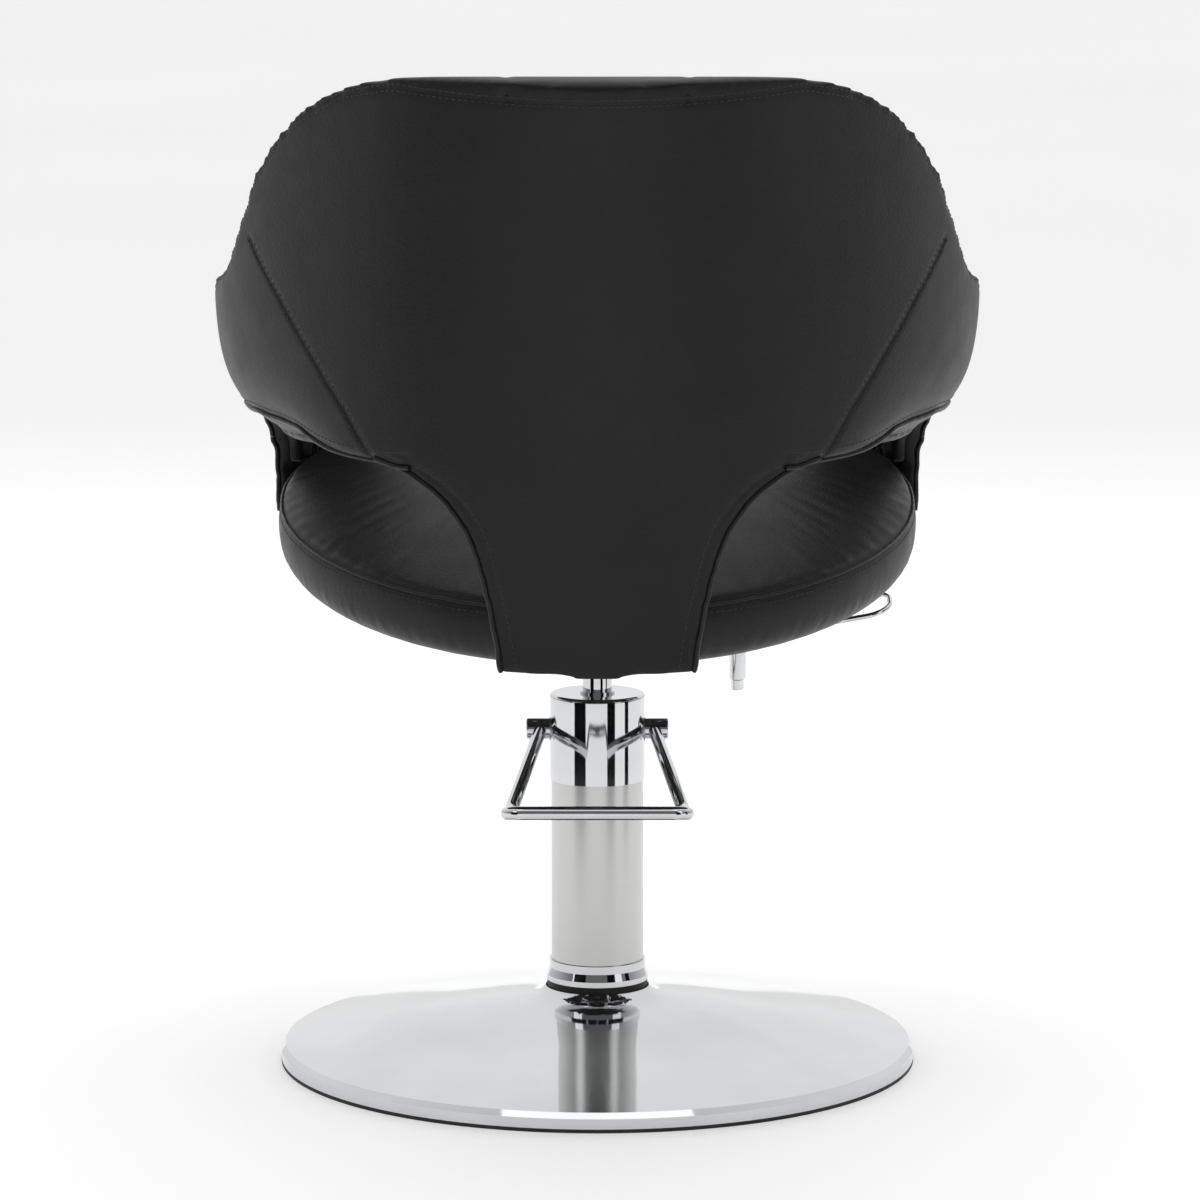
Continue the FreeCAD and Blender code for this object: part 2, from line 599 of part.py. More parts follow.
def tilt_housing():
    """Hub, channel floor, two cheeks and the posts that carry the buffers."""
    floor = box(-CHANNEL_HALF_X, CHANNEL_HALF_X, -CHANNEL_HALF_Y, CHANNEL_HALF_Y,
                CHANNEL_Z, CHANNEL_Z + CHANNEL_T)
    body = floor.fuse(cyl(HUB_D / 2, HUB_H, HUB_Z))
    body = body.fuse(cheek(-CHANNEL_HALF_X, -CHANNEL_HALF_X + CHANNEL_T))
    body = body.fuse(cheek(CHANNEL_HALF_X - CHANNEL_T, CHANNEL_HALF_X))
    rear_top, front_top = buffer_tops()
    for y, top in ((BUFFER_Y, rear_top), (-BUFFER_Y, front_top)):
        body = body.fuse(cyl(7.0, top - BUFFER_H - CHANNEL_Z, CHANNEL_Z, 0, y))
    body = body.cut(cyl(RAM_D / 2, HUB_H - 1.0, HUB_Z))
    return body.cut(cyl(RAM_THREAD_D / 2, 60.0, HUB_Z))


# ---------------------------------------------------------------- seat plate, lock and lever
def seat_plate_parts():
    """Upper bracket, its bushes, screws and threaded inserts in the board."""
    half_x = SEAT_PLATE_X / 2
    y0 = AXLE_Y - SEAT_PLATE_Y / 2
    plate = box(-half_x, half_x, y0, y0 + SEAT_PLATE_Y, PLATE_BOTTOM, PLATE_TOP)
    ear_in = CHANNEL_HALF_X + MOVE
    bush_r = TILT_AXLE_D / 2 + TILT_BUSH_T
    bushes = []
    for side in (-1, 1):
        x0, x1 = sorted((side * ear_in, side * (ear_in + EAR_T)))
        ear = box(x0, x1, AXLE_Y - LOCK_ARM - 12.0, AXLE_Y + EAR_END_R, AXLE_T, PLATE_BOTTOM + 1)
        ear = ear.fuse(Part.makeCylinder(EAR_END_R, EAR_T, V(x0, AXLE_Y, AXLE_T), V(1, 0, 0)))
        ear = ear.fuse(Part.makeCylinder(12.0, EAR_T, V(x0, AXLE_Y - LOCK_ARM, AXLE_T), V(1, 0, 0)))
        ear = ear.cut(rod_x(bush_r, x0 - 1, x1 + 1, AXLE_Y, AXLE_T))
        ear = ear.cut(rod_x(LOCK_D / 2 + RUN * 2, x0 - 1, x1 + 1, AXLE_Y - LOCK_ARM, AXLE_T))
        plate = plate.fuse(ear)
        ring = rod_x(bush_r, x0, x1, AXLE_Y, AXLE_T)
        bushes.append(ring.cut(rod_x(TILT_AXLE_D / 2 + RUN, x0 - 1, x1 + 1, AXLE_Y, AXLE_T)))
    screws = []
    inserts = []
    for x, y in screw_places():
        plate = plate.cut(cyl(SCREW_D / 2 + SLIP, SEAT_PLATE_T + 2, PLATE_BOTTOM - 1, x, y))
        screws.append(board_screw(x, y, PLATE_BOTTOM))
        inserts.append(board_insert(x, y))
    for x, y in strap_screw_places():
        screws.append(board_screw(x, y, PLATE_TOP - STRAP_T))
        inserts.append(board_insert(x, y))
    save("seat_plate", tilted(plate))
    save("tilt_bushes", *[tilted(b) for b in bushes])
    save("seat_screws", *[tilted(s) for s in screws + shell_screws()])
    save("board_inserts", *[tilted(s) for s in inserts])


def screw_places():
    """Corner screws of the seat plate."""
    x = SEAT_PLATE_X / 2 - SCREW_INSET
    y = SEAT_PLATE_Y / 2 - SCREW_INSET
    return [(sx * x, AXLE_Y + sy * y) for sx in (-1, 1) for sy in (-1, 1)]


def strap_screw_places():
    """Two screws in each strap of the shell."""
    places = []
    for turn, _ in strap_turns():
        for r in (BOARD_R - 64.0, BOARD_R - 24.0):
            places.append((r * math.sin(turn), r * math.cos(turn)))
    return places


def board_screw(x, y, z):
    """Pan head screw up into the board."""
    head = cyl(SCREW_HEAD_D / 2, SCREW_HEAD_H, z - SCREW_HEAD_H, x, y)
    return cyl(SCREW_D / 2, SCREW_L, z, x, y).fuse(head)


def shell_screws(spare=0.0):
    """Screws inward through the shell into the straps, drawn larger all round by spare."""
    screws = []
    for turn, _ in strap_turns():
        out = V(math.sin(turn), math.cos(turn), 0)
        face = out * (CORE_IN + CORE_T)
        for t in SHELL_SCREW_T:
            seat = face + V(0, 0, t)
            shank = Part.makeCylinder(SCREW_D / 2 + spare, SCREW_L, seat, out * -1)
            head = Part.makeCylinder(SCREW_HEAD_D / 2 + spare, SCREW_HEAD_H + spare, seat, out)
            screws.append(shank.fuse(head))
    return screws


def board_insert(x, y):
    """Threaded insert for that screw."""
    return tube(INSERT_D / 2, SCREW_D / 2, BOARD_T, -SEAT_DEPTH, x, y)


def lever_parts():
    """Post under the seat, the sleeve that turns on it, its loop handle, the cam and the clamp bolt."""
    x = -POST_X
    lock_y = AXLE_Y - LOCK_ARM
    y = lock_y + CAM_THROW
    pin_r = LEVER_PIN_D / 2
    post_foot = AXLE_T - POST_DROP
    cap_foot = post_foot - 3.0
    sleeve_foot = cap_foot + POST_CAP_H + 1.5
    sleeve_top = AXLE_T - LOCK_EYE_H / 2 - 0.5
    under = PLATE_TOP - POST_BRACKET_T
    bracket = box(x - 26, x + 26, y - 26, y + 22, under, PLATE_TOP)
    boss_foot = AXLE_T + LOCK_EYE_H / 2 + 6.0
    boss = cyl(pin_r + 4.0, under - boss_foot, boss_foot, x, y)
    pin = cyl(pin_r, PLATE_TOP - 1.0 - post_foot, post_foot, x, y)
    save("lever_post", tilted(bracket.fuse(boss).fuse(pin)))
    cap = cyl(POST_TIP_D / 2, POST_CAP_H, cap_foot, x, y).cut(cyl(pin_r, 40.0, post_foot, x, y))
    save("post_cap", tilted(cap))
    sleeve = tube(POST_D / 2, pin_r + RUN, sleeve_top - sleeve_foot, sleeve_foot, x, y)
    save("lever_sleeve", tilted(sleeve))
    cam = cyl(CAM_THROW + 5.0, CAM_H, sleeve_top - CAM_H, x, y)
    cam = cam.fuse(cyl(CAM_PIN_D / 2, CAM_H + LOCK_EYE_H + 0.5, sleeve_top - CAM_H, x, lock_y))
    cam = cam.cut(cyl(POST_D / 2, 2 * CAM_H, sleeve_top - 1.5 * CAM_H, x, y))
    save("lever_cam", tilted(cam))
    save("lever_loop", tilted(lever_loop(x, y)))
    save("clamp_bolt", tilted(clamp_bolt(x, lock_y)))
    save("bolt_guide", tilted(bolt_guide(lock_y)))


def lever_loop(x, y):
    """Chrome wire loop: two legs leave the sleeve, spread, rise and meet in a round end."""
    low = AXLE_T - LOOP_DROP
    knee_x = x - LOOP_REACH * 0.32
    end_x = x - LOOP_REACH
    knee_t = low + LOOP_RISE * 0.45
    end_t = low + LOOP_RISE
    r = LOOP_HALF - 6.0
    start = V(x - POST_D / 4, y + 2, low)
    legs = [V(knee_x, y + LOOP_HALF * 0.66, knee_t), V(end_x, y + LOOP_HALF + 2, end_t)]
    near = [start] + legs
    far = [V(p.x, 2 * y - p.y, p.z) for p in reversed(near)]
    loop = wire_rod(near + far, [70.0, r, r, 70.0], LOOP_WIRE_D)
    loop = loop.cut(cyl(POST_D / 2, 60.0, low - 30.0, x, y))
    return max(loop.Solids, key=lambda s: s.Volume)


def clamp_bolt(x, y):
    """Bolt along X whose head clamps the housing, with an eye over the cam's pin."""
    cheek_face = -(CHANNEL_HALF_X - CHANNEL_T)
    head = rod_x(LOCK_HEAD_D / 2, cheek_face + RUN, cheek_face + 4.0, y, AXLE_T)
    bolt = rod_x(LOCK_D / 2, x + 9.0, cheek_face + 1.0, y, AXLE_T).fuse(head)
    half = LOCK_EYE_H / 2
    eye = box(x - 7, x + 10, y - 6, y + 5, AXLE_T - half, AXLE_T + half)
    pin_r = CAM_PIN_D / 2
    slot = box(x - pin_r - 0.3, x + pin_r + 0.3, y - pin_r - 0.5, y + pin_r + 0.5,
               AXLE_T - half - 1, AXLE_T + half + 1)
    return bolt.fuse(eye).cut(slot)


def bolt_guide(y):
    """Block under the seat plate in which the clamp bolt slides."""
    block = box(-92.0, -66.0, y - 9.0, y + 9.0, AXLE_T - 9.0, PLATE_BOTTOM)
    return block.cut(rod_x(LOCK_D / 2 + RUN, -100.0, -60.0, y, AXLE_T))


# ---------------------------------------------------------------- seat
def seat_outline(inset):
    """Half section of the upholstered seat, drawn inset from its outside."""
    r = SEAT_R - inset
    seam_r = SEAT_SEAM_R - inset
    crown = SEAT_CROWN - inset
    bottom = -SEAT_DEPTH + (inset if inset else 0.0)
    corner = SEAT_CORNER - inset
    top = spline([V(0, 0, crown), V(seam_r * 0.45, 0, crown * 0.93), V(seam_r * 0.78, 0, crown * 0.62),
                  V(seam_r, 0, -inset)])
    flank = Part.Arc(V(seam_r, 0, -inset), V(r, 0, -16.0), V(r, 0, bottom + corner)).toShape()
    turn = Part.Arc(V(r, 0, bottom + corner), V(r - corner * 0.293, 0, bottom + corner * 0.293),
                    V(r - corner, 0, bottom)).toShape()
    return top, flank, turn, bottom, r - corner


def seat_body(inset):
    """Solid inside that section."""
    top, flank, turn, bottom, foot_r = seat_outline(inset)
    edges = [top, flank, turn, Part.makeLine(V(foot_r, 0, bottom), V(0, 0, bottom)),
             Part.makeLine(V(0, 0, bottom), V(0, 0, SEAT_CROWN - inset))]
    return revolve(edges)


def seat_parts():
    """Board, foam, the two leather covers and the dust cloth."""
    board = cyl(BOARD_R, BOARD_T, -SEAT_DEPTH)
    for x, y in screw_places() + strap_screw_places():
        board = board.cut(cyl(INSERT_D / 2, BOARD_T + 2, -SEAT_DEPTH - 1, x, y))
    save("seat_board", tilted(board))
    outside = seat_body(0.0)
    inside = seat_body(COVER_SKIN)
    room = cyl(BOARD_R + SLIP, BOARD_T + SLIP + 20.0, -SEAT_DEPTH - 20.0)
    save("seat_foam", tilted(inside.cut(room)))
    skin = outside.cut(inside).cut(room)
    above = box(-400, 400, -400, 400, -COVER_SKIN, 200)
    save("seat_top_cover", tilted(skin.common(above)))
    save("seat_band", tilted(skin.cut(above)))
    cloth = cyl(BOARD_R + 4.0, CLOTH_T, UNDER)
    for x, y in screw_places() + strap_screw_places():
        cloth = cloth.cut(cyl(SCREW_D / 2 + SLIP, 4.0, UNDER - 1, x, y))
    save("dust_cloth", tilted(cloth))


# ---------------------------------------------------------------- shell with back and arms
def shell_sections():
    """Heights of the shell's plan sections with half width, rear reach and centre of each."""
    widening = ARM_HALF - FOOT_R
    return [(t, FOOT_R + widening * wide, FOOT_R + BACK_LEAN * lean, centre)
            for t, wide, lean, centre in SHELL_PLAN]


def shell_inset(t, low, high):
    """Depth below the shell's outer surface at height t, from low at the foot to high above."""
    start = 10.0
    blend = 120.0
    share = min(max((t - start) / blend, 0.0), 1.0)
    return low + (high - low) * share


def plan_curve(section, inset, end_inset, back_to_front):
    """Plan view of one wall, from one arm's front end, where it is end_inset deep, to the other's."""
    t, half, rear, centre = section
    end = math.asin(min((ARM_FRONT + 15.0 + centre) / (rear - centre - end_inset), 0.98))
    steps = 12
    turns = [-end + (math.pi + 2 * end) * k / steps for k in range(steps + 1)]
    points = []
    for turn in turns:
        ahead = max(-math.sin(turn), 0.0) / math.sin(end)
        depth = inset + (end_inset - inset) * ahead
        y = centre + (rear - centre - depth) * math.sin(turn)
        points.append(V((half - depth) * math.cos(turn), y, t))
    return points[::-1] if back_to_front else points


def shell_layer(outer, inner):
    """C-shaped wall between two insets, each given as (at the foot, above, at the arms' ends)."""
    rings = []
    for section in shell_sections():
        t = section[0]
        walls = []
        for (low, high, tip), back_to_front in ((outer, False), (inner, True)):
            inset = shell_inset(t, low, high)
            walls.append(plan_curve(section, inset, shell_inset(t, low, tip), back_to_front))
        out, back = walls
        edges = [spline(out), Part.makeLine(out[-1], back[0]), spline(back)]
        edges.append(Part.makeLine(back[-1], out[0]))
        rings.append(Part.Wire(edges))
    return Part.makeLoft(rings, True, False)


def side_outline(fold):
    """Side view of back, arm and leg, fold inside their edge: (y, t) prism across the chair."""
    top = BACK_TOP - fold
    front = -ARM_FRONT + fold
    low = -LEG_FOOT + fold
    (y0, drop0), (y1, drop1), (y2, drop2) = ARM_CORNER
    rear = CREST[0][0]
    knots = [V(0, y + fold / 2, top - drop) for y, drop in CREST[1:]]
    crest = spline([V(0, rear, top)] + knots + [V(0, front + y0, top - drop0)])
    corner = Part.Arc(V(0, front + y0, top - drop0), V(0, front + y1, top - drop1),
                      V(0, front + y2, top - drop2)).toShape()
    leg = Part.makeLine(V(0, front + y2, top - drop2), V(0, front + LEG_RAKE, low))
    rest = [V(0, front + LEG_RAKE, low), V(0, rear, low), V(0, rear, top)]
    edges = [crest, corner, leg] + [Part.makeLine(a, b) for a, b in zip(rest, rest[1:])]
    shape = prism(edges, V(2 * FAR, 0, 0))
    shape.translate(V(-FAR, 0, 0))
    return shape


def stem_prism(fold):
    """Rear view of the stem below the back, fold inside its edge, pushed backwards."""
    right = [V(x - fold, STEM_FRONT, t + fold) for x, t in STEM]
    right[0].z = STEM[0][1]
    left = [V(-p.x, p.y, p.z) for p in right]
    ends = [Part.makeLine(right[-1], left[-1]), Part.makeLine(right[0], left[0])]
    edges = [spline(right), spline(left)] + ends
    return prism(edges, V(0, FAR, 0))


def side_openings(fold):
    """Holes under the arms, between the stem and the legs, larger all round by fold."""
    leg_rear = -ARM_FRONT + LEG_W - fold
    low = -LEG_FOOT - 30.0
    knots = [V(0, leg_rear + y, t + fold) for y, t in UNDER_LEG]
    knots += [V(0, y, t + fold) for y, t in UNDER_ARM]
    rest = [knots[-1], V(0, knots[-1].y, low), V(0, leg_rear + 2 * UNDER_LEG[0][0], low), knots[0]]
    hole = prism([spline(knots)] + [Part.makeLine(a, b) for a, b in zip(rest, rest[1:])], V(2 * FAR, 0, 0))
    hole.translate(V(-FAR, 0, 0))
    return hole.cut(stem_prism(fold))


def seam_wedge():
    """Everything outside the side seams: the right-hand side, +X."""
    (x0, t0), (x1, t1) = SIDE_SEAM_LOW, SIDE_SEAM_HIGH
    lean = (x1 - x0) / (t1 - t0)
    foot = t0 - 74.0                              # below here only the stem is left behind ARM_BACK
    x_low = x0 + lean * (foot - t0)
    x_high = x0 + lean * (FAR - t0)
    ring = [V(x_low, -FAR, foot), V(x_high, -FAR, FAR), V(FAR, -FAR, FAR), V(FAR, -FAR, foot)]
    ahead = box(0, FAR, -FAR, ARM_BACK, -LEG_FOOT - 60, FAR)
    return prism(polyline(ring), V(0, 2 * FAR, 0)).fuse(ahead)


def shell_parts():
    """Moulded shell, its straps, the outer covers and the inner cushions."""
    core_in = OUTER_PAD + CORE_T
    under_cover = (OUTER_PAD, OUTER_PAD, OUTER_PAD)
    face = (OUTER_PAD + GLUE, OUTER_PAD + GLUE, OUTER_PAD + GLUE)
    back = (core_in, core_in, core_in)
    under_pad = (core_in + GLUE, core_in + GLUE, core_in + GLUE)
    into_pad = (core_in + 1.0, core_in + 1.0, core_in + 1.0)
    cushion = (core_in + 4.0, core_in + INNER_PAD, core_in + ARM_END_PAD)
    outline = side_outline(0.0)
    holes = side_openings(0.0)
    screws = Part.makeCompound(shell_screws())
    rooms = Part.makeCompound(shell_screws(SLIP))
    core = shell_layer(face, back).common(side_outline(EDGE_FOLD)).cut(side_openings(EDGE_FOLD))
    save("shell_core", tilted(core.cut(screws)))
    skin = shell_layer((0.0, 0.0, 0.0), under_cover).common(outline).cut(holes).cut(rooms)
    wedge = seam_wedge()
    wedges = wedge.fuse(mirrored(wedge))
    save("back_cover", tilted(skin.cut(wedges)))
    arm = skin.common(wedge)
    save("arm_cover_left", tilted(arm))
    save("arm_cover_right", tilted(mirrored(arm)))
    strap_room = box(-FAR, FAR, -FAR, STEM_FRONT, -FAR, STRAP_TOP + SLIP).fuse(
        box(-SEAT_R / 2, SEAT_R / 2, STEM_FRONT, FAR, -FAR, -2 * STRAP_TOP + SLIP))
    board = side_outline(EDGE_FOLD - SLIP).cut(side_openings(EDGE_FOLD - SLIP))
    folded = shell_layer(face, into_pad).common(outline).cut(holes).cut(board).cut(strap_room)
    inner = shell_layer(under_pad, cushion).common(outline).cut(holes).cut(strap_room)
    pads = inner.fuse(folded)
    middle = box(-PANEL_HALF, PANEL_HALF, 100, FAR, -200, FAR)
    pad_back = pads.cut(wedges)
    save("back_pad_center", tilted(pad_back.common(middle)))
    side = pad_back.common(box(PANEL_HALF, FAR, -FAR, FAR, -200, FAR))
    save("back_pad_left", tilted(side))
    save("back_pad_right", tilted(mirrored(side)))
    pad_arm = pads.common(wedge)
    save("arm_pad_left", tilted(pad_arm))
    save("arm_pad_right", tilted(mirrored(pad_arm)))
    for name, shape in zip(("back_strap", "leg_strap_left", "leg_strap_right"), straps()):
        save(name, tilted(shape))


def strap_turns():
    """Direction of each strap from straight back, with its width."""
    leg_y = -ARM_FRONT + LEG_W / 2
    side = math.atan2(math.sqrt(CORE_IN ** 2 - leg_y ** 2), leg_y)
    return [(0.0, STRAP_W), (side, LEG_STRAP_W), (-side, LEG_STRAP_W)]


def straps():
    """Steel straps from under the board, round the seat's lower edge and up inside the shell."""
    made = []
    inner = BOARD_R - STRAP_START
    out = CORE_IN - STRAP_T - STRAP_GAP
    top = PLATE_TOP
    bend = SEAT_CORNER + 2.0
    for turn, width in strap_turns():
        run = [V(0, inner, top - STRAP_T), V(0, inner, top), V(0, out - bend, top)]
        inside = Part.Arc(V(0, out - bend, top), V(0, out - bend * 0.293, top + bend * 0.293),
                          V(0, out, top + bend)).toShape()
        outer_bend = bend + STRAP_T
        outside = Part.Arc(V(0, out - bend, top - STRAP_T),
                           V(0, out - bend + outer_bend * 0.707, top + bend - outer_bend * 0.707),
                           V(0, out + STRAP_T, top + bend)).toShape()
        ends = [V(0, out, top + bend), V(0, out, STRAP_TOP), V(0, out + STRAP_T, STRAP_TOP),
                V(0, out + STRAP_T, top + bend)]
        edges = [inside, outside, Part.makeLine(V(0, out - bend, top - STRAP_T), run[0])]
        edges += [Part.makeLine(a, b) for a, b in zip(run, run[1:])]
        edges += [Part.makeLine(a, b) for a, b in zip(ends, ends[1:])]
        strap = prism(edges, V(width, 0, 0))
        strap.translate(V(-width / 2, 0, 0))
        strap.rotate(V(0, 0, 0), V(0, 0, 1), -math.degrees(turn))
        for x, y in strap_screw_places():
            strap = strap.cut(cyl(SCREW_D / 2 + SLIP, 20.0, top - 10.0, x, y))
        made.append(strap.cut(Part.makeCompound(shell_screws())))
    return made


os.makedirs("parts", exist_ok=True)
base_parts()
column_parts()
pump_parts()
foot = lift_parts()
ram_parts(foot)
pedal_parts()
plunger_parts()
housing_parts()
seat_plate_parts()
lever_parts()
seat_parts()
shell_parts()
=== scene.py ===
"""Looks of a hydraulic styling chair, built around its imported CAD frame."""
import json
import logging
import math
from dataclasses import dataclass, field
from enum import Enum
from typing import Callable, Optional

import bmesh
import bpy
import numpy as np
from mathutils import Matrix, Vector
from mathutils.bvhtree import BVHTree
from mathutils.kdtree import KDTree

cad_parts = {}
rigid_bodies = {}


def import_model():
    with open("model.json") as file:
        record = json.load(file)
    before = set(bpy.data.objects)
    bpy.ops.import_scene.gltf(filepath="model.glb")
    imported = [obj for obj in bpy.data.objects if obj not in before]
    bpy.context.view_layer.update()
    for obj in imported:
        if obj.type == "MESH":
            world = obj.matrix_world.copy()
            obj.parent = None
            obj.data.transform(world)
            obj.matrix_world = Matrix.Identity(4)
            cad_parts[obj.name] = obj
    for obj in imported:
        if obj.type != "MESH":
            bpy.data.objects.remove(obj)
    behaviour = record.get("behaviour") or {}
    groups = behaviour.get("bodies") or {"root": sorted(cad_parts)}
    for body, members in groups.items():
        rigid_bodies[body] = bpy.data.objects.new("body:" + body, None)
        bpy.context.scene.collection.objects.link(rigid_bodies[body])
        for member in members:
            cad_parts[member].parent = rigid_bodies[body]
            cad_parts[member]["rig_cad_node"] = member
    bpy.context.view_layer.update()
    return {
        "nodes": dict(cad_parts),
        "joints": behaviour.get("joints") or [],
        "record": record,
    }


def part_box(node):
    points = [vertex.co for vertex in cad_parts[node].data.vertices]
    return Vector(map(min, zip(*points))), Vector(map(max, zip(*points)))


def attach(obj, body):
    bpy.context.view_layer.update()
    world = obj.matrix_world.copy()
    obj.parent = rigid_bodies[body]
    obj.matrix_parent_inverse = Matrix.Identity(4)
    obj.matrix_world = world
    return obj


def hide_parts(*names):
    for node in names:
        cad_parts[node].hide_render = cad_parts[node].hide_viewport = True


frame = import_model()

LOG = logging.getLogger("styling_chair")
SEAT_BODY = "seat"
CUSHIONS = ("back_pad_center", "back_pad_left", "back_pad_right", "arm_pad_left", "arm_pad_right")
MM = 0.001
Colour = tuple[float, float, float]
Line = list[Vector]


# ---------------------------------------------------------------- shader tree
class Shader:
    """Node tree of one finish, laid on the object's own coordinates."""

    def __init__(self, name: str, **surface: float) -> None:
        """Starts a material and sets the constant values of its surface.

        Args:
            name: Name of the material.
            surface: Principled inputs, with underscores for the spaces.
        """
        self.material = bpy.data.materials.new(name)
        self.material.use_nodes = True
        self.tree = self.material.node_tree
        self.surface = self.tree.nodes["Principled BSDF"]
        self.place = self.tree.nodes.new("ShaderNodeTexCoord").outputs["Object"]
        for key, value in surface.items():
            self.surface.inputs[key.replace("_", " ")].default_value = value

    def node(self, kind: str, links: dict[str, object], **values: object) -> bpy.types.Node:
        """Adds a node.

        Args:
            kind: Blender's type name without the ShaderNode prefix.
            links: Input names with the sockets or values that feed them.
            values: Properties of the node itself.

        Returns:
            The new node.
        """
        made = self.tree.nodes.new("ShaderNode" + kind)
        for key, value in values.items():
            setattr(made, key, value)
        for key, value in links.items():
            if isinstance(value, bpy.types.NodeSocket):
                self.tree.links.new(value, made.inputs[key])
            else:
                made.inputs[key].default_value = value
        return made

    def stretched(self, scale: Colour) -> bpy.types.NodeSocket:
        """Coordinates scaled on each axis."""
        return self.node("Mapping", {"Vector": self.place, "Scale": scale}).outputs["Vector"]

    def noise(self, scale: float, detail: float = 4.0, place: Optional[bpy.types.NodeSocket] = None
              ) -> bpy.types.NodeSocket:
        """Cloudy variation at the given scale."""
        links = {"Vector": place or self.place, "Scale": scale, "Detail": detail}
        return self.node("TexNoise", links).outputs["Fac"]

    def cells(self, scale: float) -> bpy.types.NodeSocket:
        """Distance to the borders of irregular cells."""
        links = {"Vector": self.place, "Scale": scale}
        return self.node("TexVoronoi", links, feature="DISTANCE_TO_EDGE").outputs["Distance"]

    def spread(self, value: bpy.types.NodeSocket, low: float, high: float, start: float = 0.0,
               end: float = 1.0) -> bpy.types.NodeSocket:
        """Moves a range of values onto another one.

        Args:
            value: Socket to move.
            low: Result at start.
            high: Result at end.
            start: Lower end of the incoming range.
            end: Upper end of the incoming range.

        Returns:
            The moved socket.
        """
        links = {"Value": value, "From Min": start, "From Max": end, "To Min": low, "To Max": high}
        return self.node("MapRange", links).outputs["Result"]

    def tones(self, value: bpy.types.NodeSocket, dark: Colour, light: Colour) -> None:
        """Colours the surface between two tones."""
        ramp = self.node("ValToRGB", {"Fac": value})
        ramp.color_ramp.elements[0].position = 0.3
        ramp.color_ramp.elements[1].position = 0.7
        ramp.color_ramp.elements[0].color = (*dark, 1.0)
        ramp.color_ramp.elements[1].color = (*light, 1.0)
        self.tree.links.new(ramp.outputs["Color"], self.surface.inputs["Base Color"])

    def roughness(self, value: bpy.types.NodeSocket, low: float, high: float) -> None:
        """Varies the roughness between two values."""
        self.tree.links.new(self.spread(value, low, high), self.surface.inputs["Roughness"])

    def relief(self, layers: list[tuple[bpy.types.NodeSocket, float, float]]) -> None:
        """Adds fine relief, given as (height, strength, depth in metres), one layer over another."""
        normal = None
        for height, strength, depth in layers:
            links = {"Height": height, "Strength": strength, "Distance": depth}
            if normal is not None:
                links["Normal"] = normal
            normal = self.node("Bump", links).outputs["Normal"]
        self.tree.links.new(normal, self.surface.inputs["Normal"])


# ---------------------------------------------------------------- finishes
@dataclass(frozen=True)
class Leather:
    """Grained upholstery leather."""

    name: str
    dark: Colour = (0.0030, 0.0030, 0.0033)
    light: Colour = (0.0056, 0.0056, 0.0060)
    pebble: float = 620.0
    smooth: float = 0.36
    matt: float = 0.52

    def material(self) -> bpy.types.Material:
        """Pebbled grain over soft creases, with a slightly polished top."""
        shader = Shader(self.name, Specular_IOR_Level=0.28)
        cloudy = shader.noise(9.0, 5.0)
        pebbles = shader.spread(shader.cells(self.pebble), 0.0, 1.0, 0.0, 0.35)
        creases = shader.spread(shader.cells(self.pebble / 4.0), 0.0, 1.0, 0.0, 0.12)
        shader.tones(cloudy, self.dark, self.light)
        shader.roughness(shader.noise(34.0, 3.0), self.smooth, self.matt)
        shader.relief([(shader.noise(16.0, 2.0), 0.25, 0.0022), (creases, 0.22, 0.0004),
                       (pebbles, 0.34, 0.00025)])
        return shader.material


@dataclass(frozen=True)
class Chrome:
    """Polished plate with faint wipe marks."""

    name: str
    tone: Colour = (0.70, 0.71, 0.72)
    worn: Colour = (0.62, 0.63, 0.64)
    polish: float = 0.035
    haze: float = 0.085

    def material(self) -> bpy.types.Material:
        """Mirror with a faint, uneven haze."""
        shader = Shader(self.name, Metallic=1.0)
        wipe = shader.noise(7.0, 6.0, shader.stretched((1.0, 1.0, 3.0)))
        shader.tones(wipe, self.worn, self.tone)
        shader.roughness(wipe, self.polish, self.haze)
        shader.relief([(shader.noise(5.0, 2.0), 0.02, 0.002)])
        return shader.material


@dataclass(frozen=True)
class Brushed:
    """Steel brushed round the sleeve, so the lines lie level."""

    name: str
    tone: Colour = (0.60, 0.60, 0.59)
    shade: Colour = (0.55, 0.55, 0.55)
    lines: float = 2600.0

    def material(self) -> bpy.types.Material:
        """Level brush lines of uneven depth."""
        shader = Shader(self.name, Metallic=1.0, Anisotropic=0.55)
        brush = shader.noise(1.0, 3.0, shader.stretched((6.0, 6.0, self.lines)))
        shader.tones(brush, self.shade, self.tone)
        shader.roughness(brush, 0.20, 0.26)
        shader.relief([(brush, 0.03, 0.00003)])
        return shader.material


@dataclass(frozen=True)
class Metal:
    """Plain, cast, sintered or plated metal."""

    name: str
    dark: Colour
    light: Colour
    low: float
    high: float
    grain: float = 260.0
    depth: float = 0.0002

    def material(self) -> bpy.types.Material:
        """Mottled metal with a fine tooth."""
        shader = Shader(self.name, Metallic=1.0)
        shader.tones(shader.noise(38.0, 5.0), self.dark, self.light)
        shader.roughness(shader.noise(90.0, 3.0), self.low, self.high)
        shader.relief([(shader.noise(self.grain, 4.0), 0.25, self.depth)])
        return shader.material


@dataclass(frozen=True)
class Coat:
    """Rubber, paint, foam or cloth: a non-metal with a fine surface."""

    name: str
    dark: Colour
    light: Colour
    low: float
    high: float
    grain: float
    depth: float
    shine: float = 0.4

    def material(self) -> bpy.types.Material:
        """Slightly mottled colour over a fine tooth."""
        shader = Shader(self.name, Specular_IOR_Level=self.shine)
        shader.tones(shader.noise(22.0, 4.0), self.dark, self.light)
        shader.roughness(shader.noise(60.0, 3.0), self.low, self.high)
        shader.relief([(shader.noise(self.grain, 3.0), 0.35, self.depth)])
        return shader.material


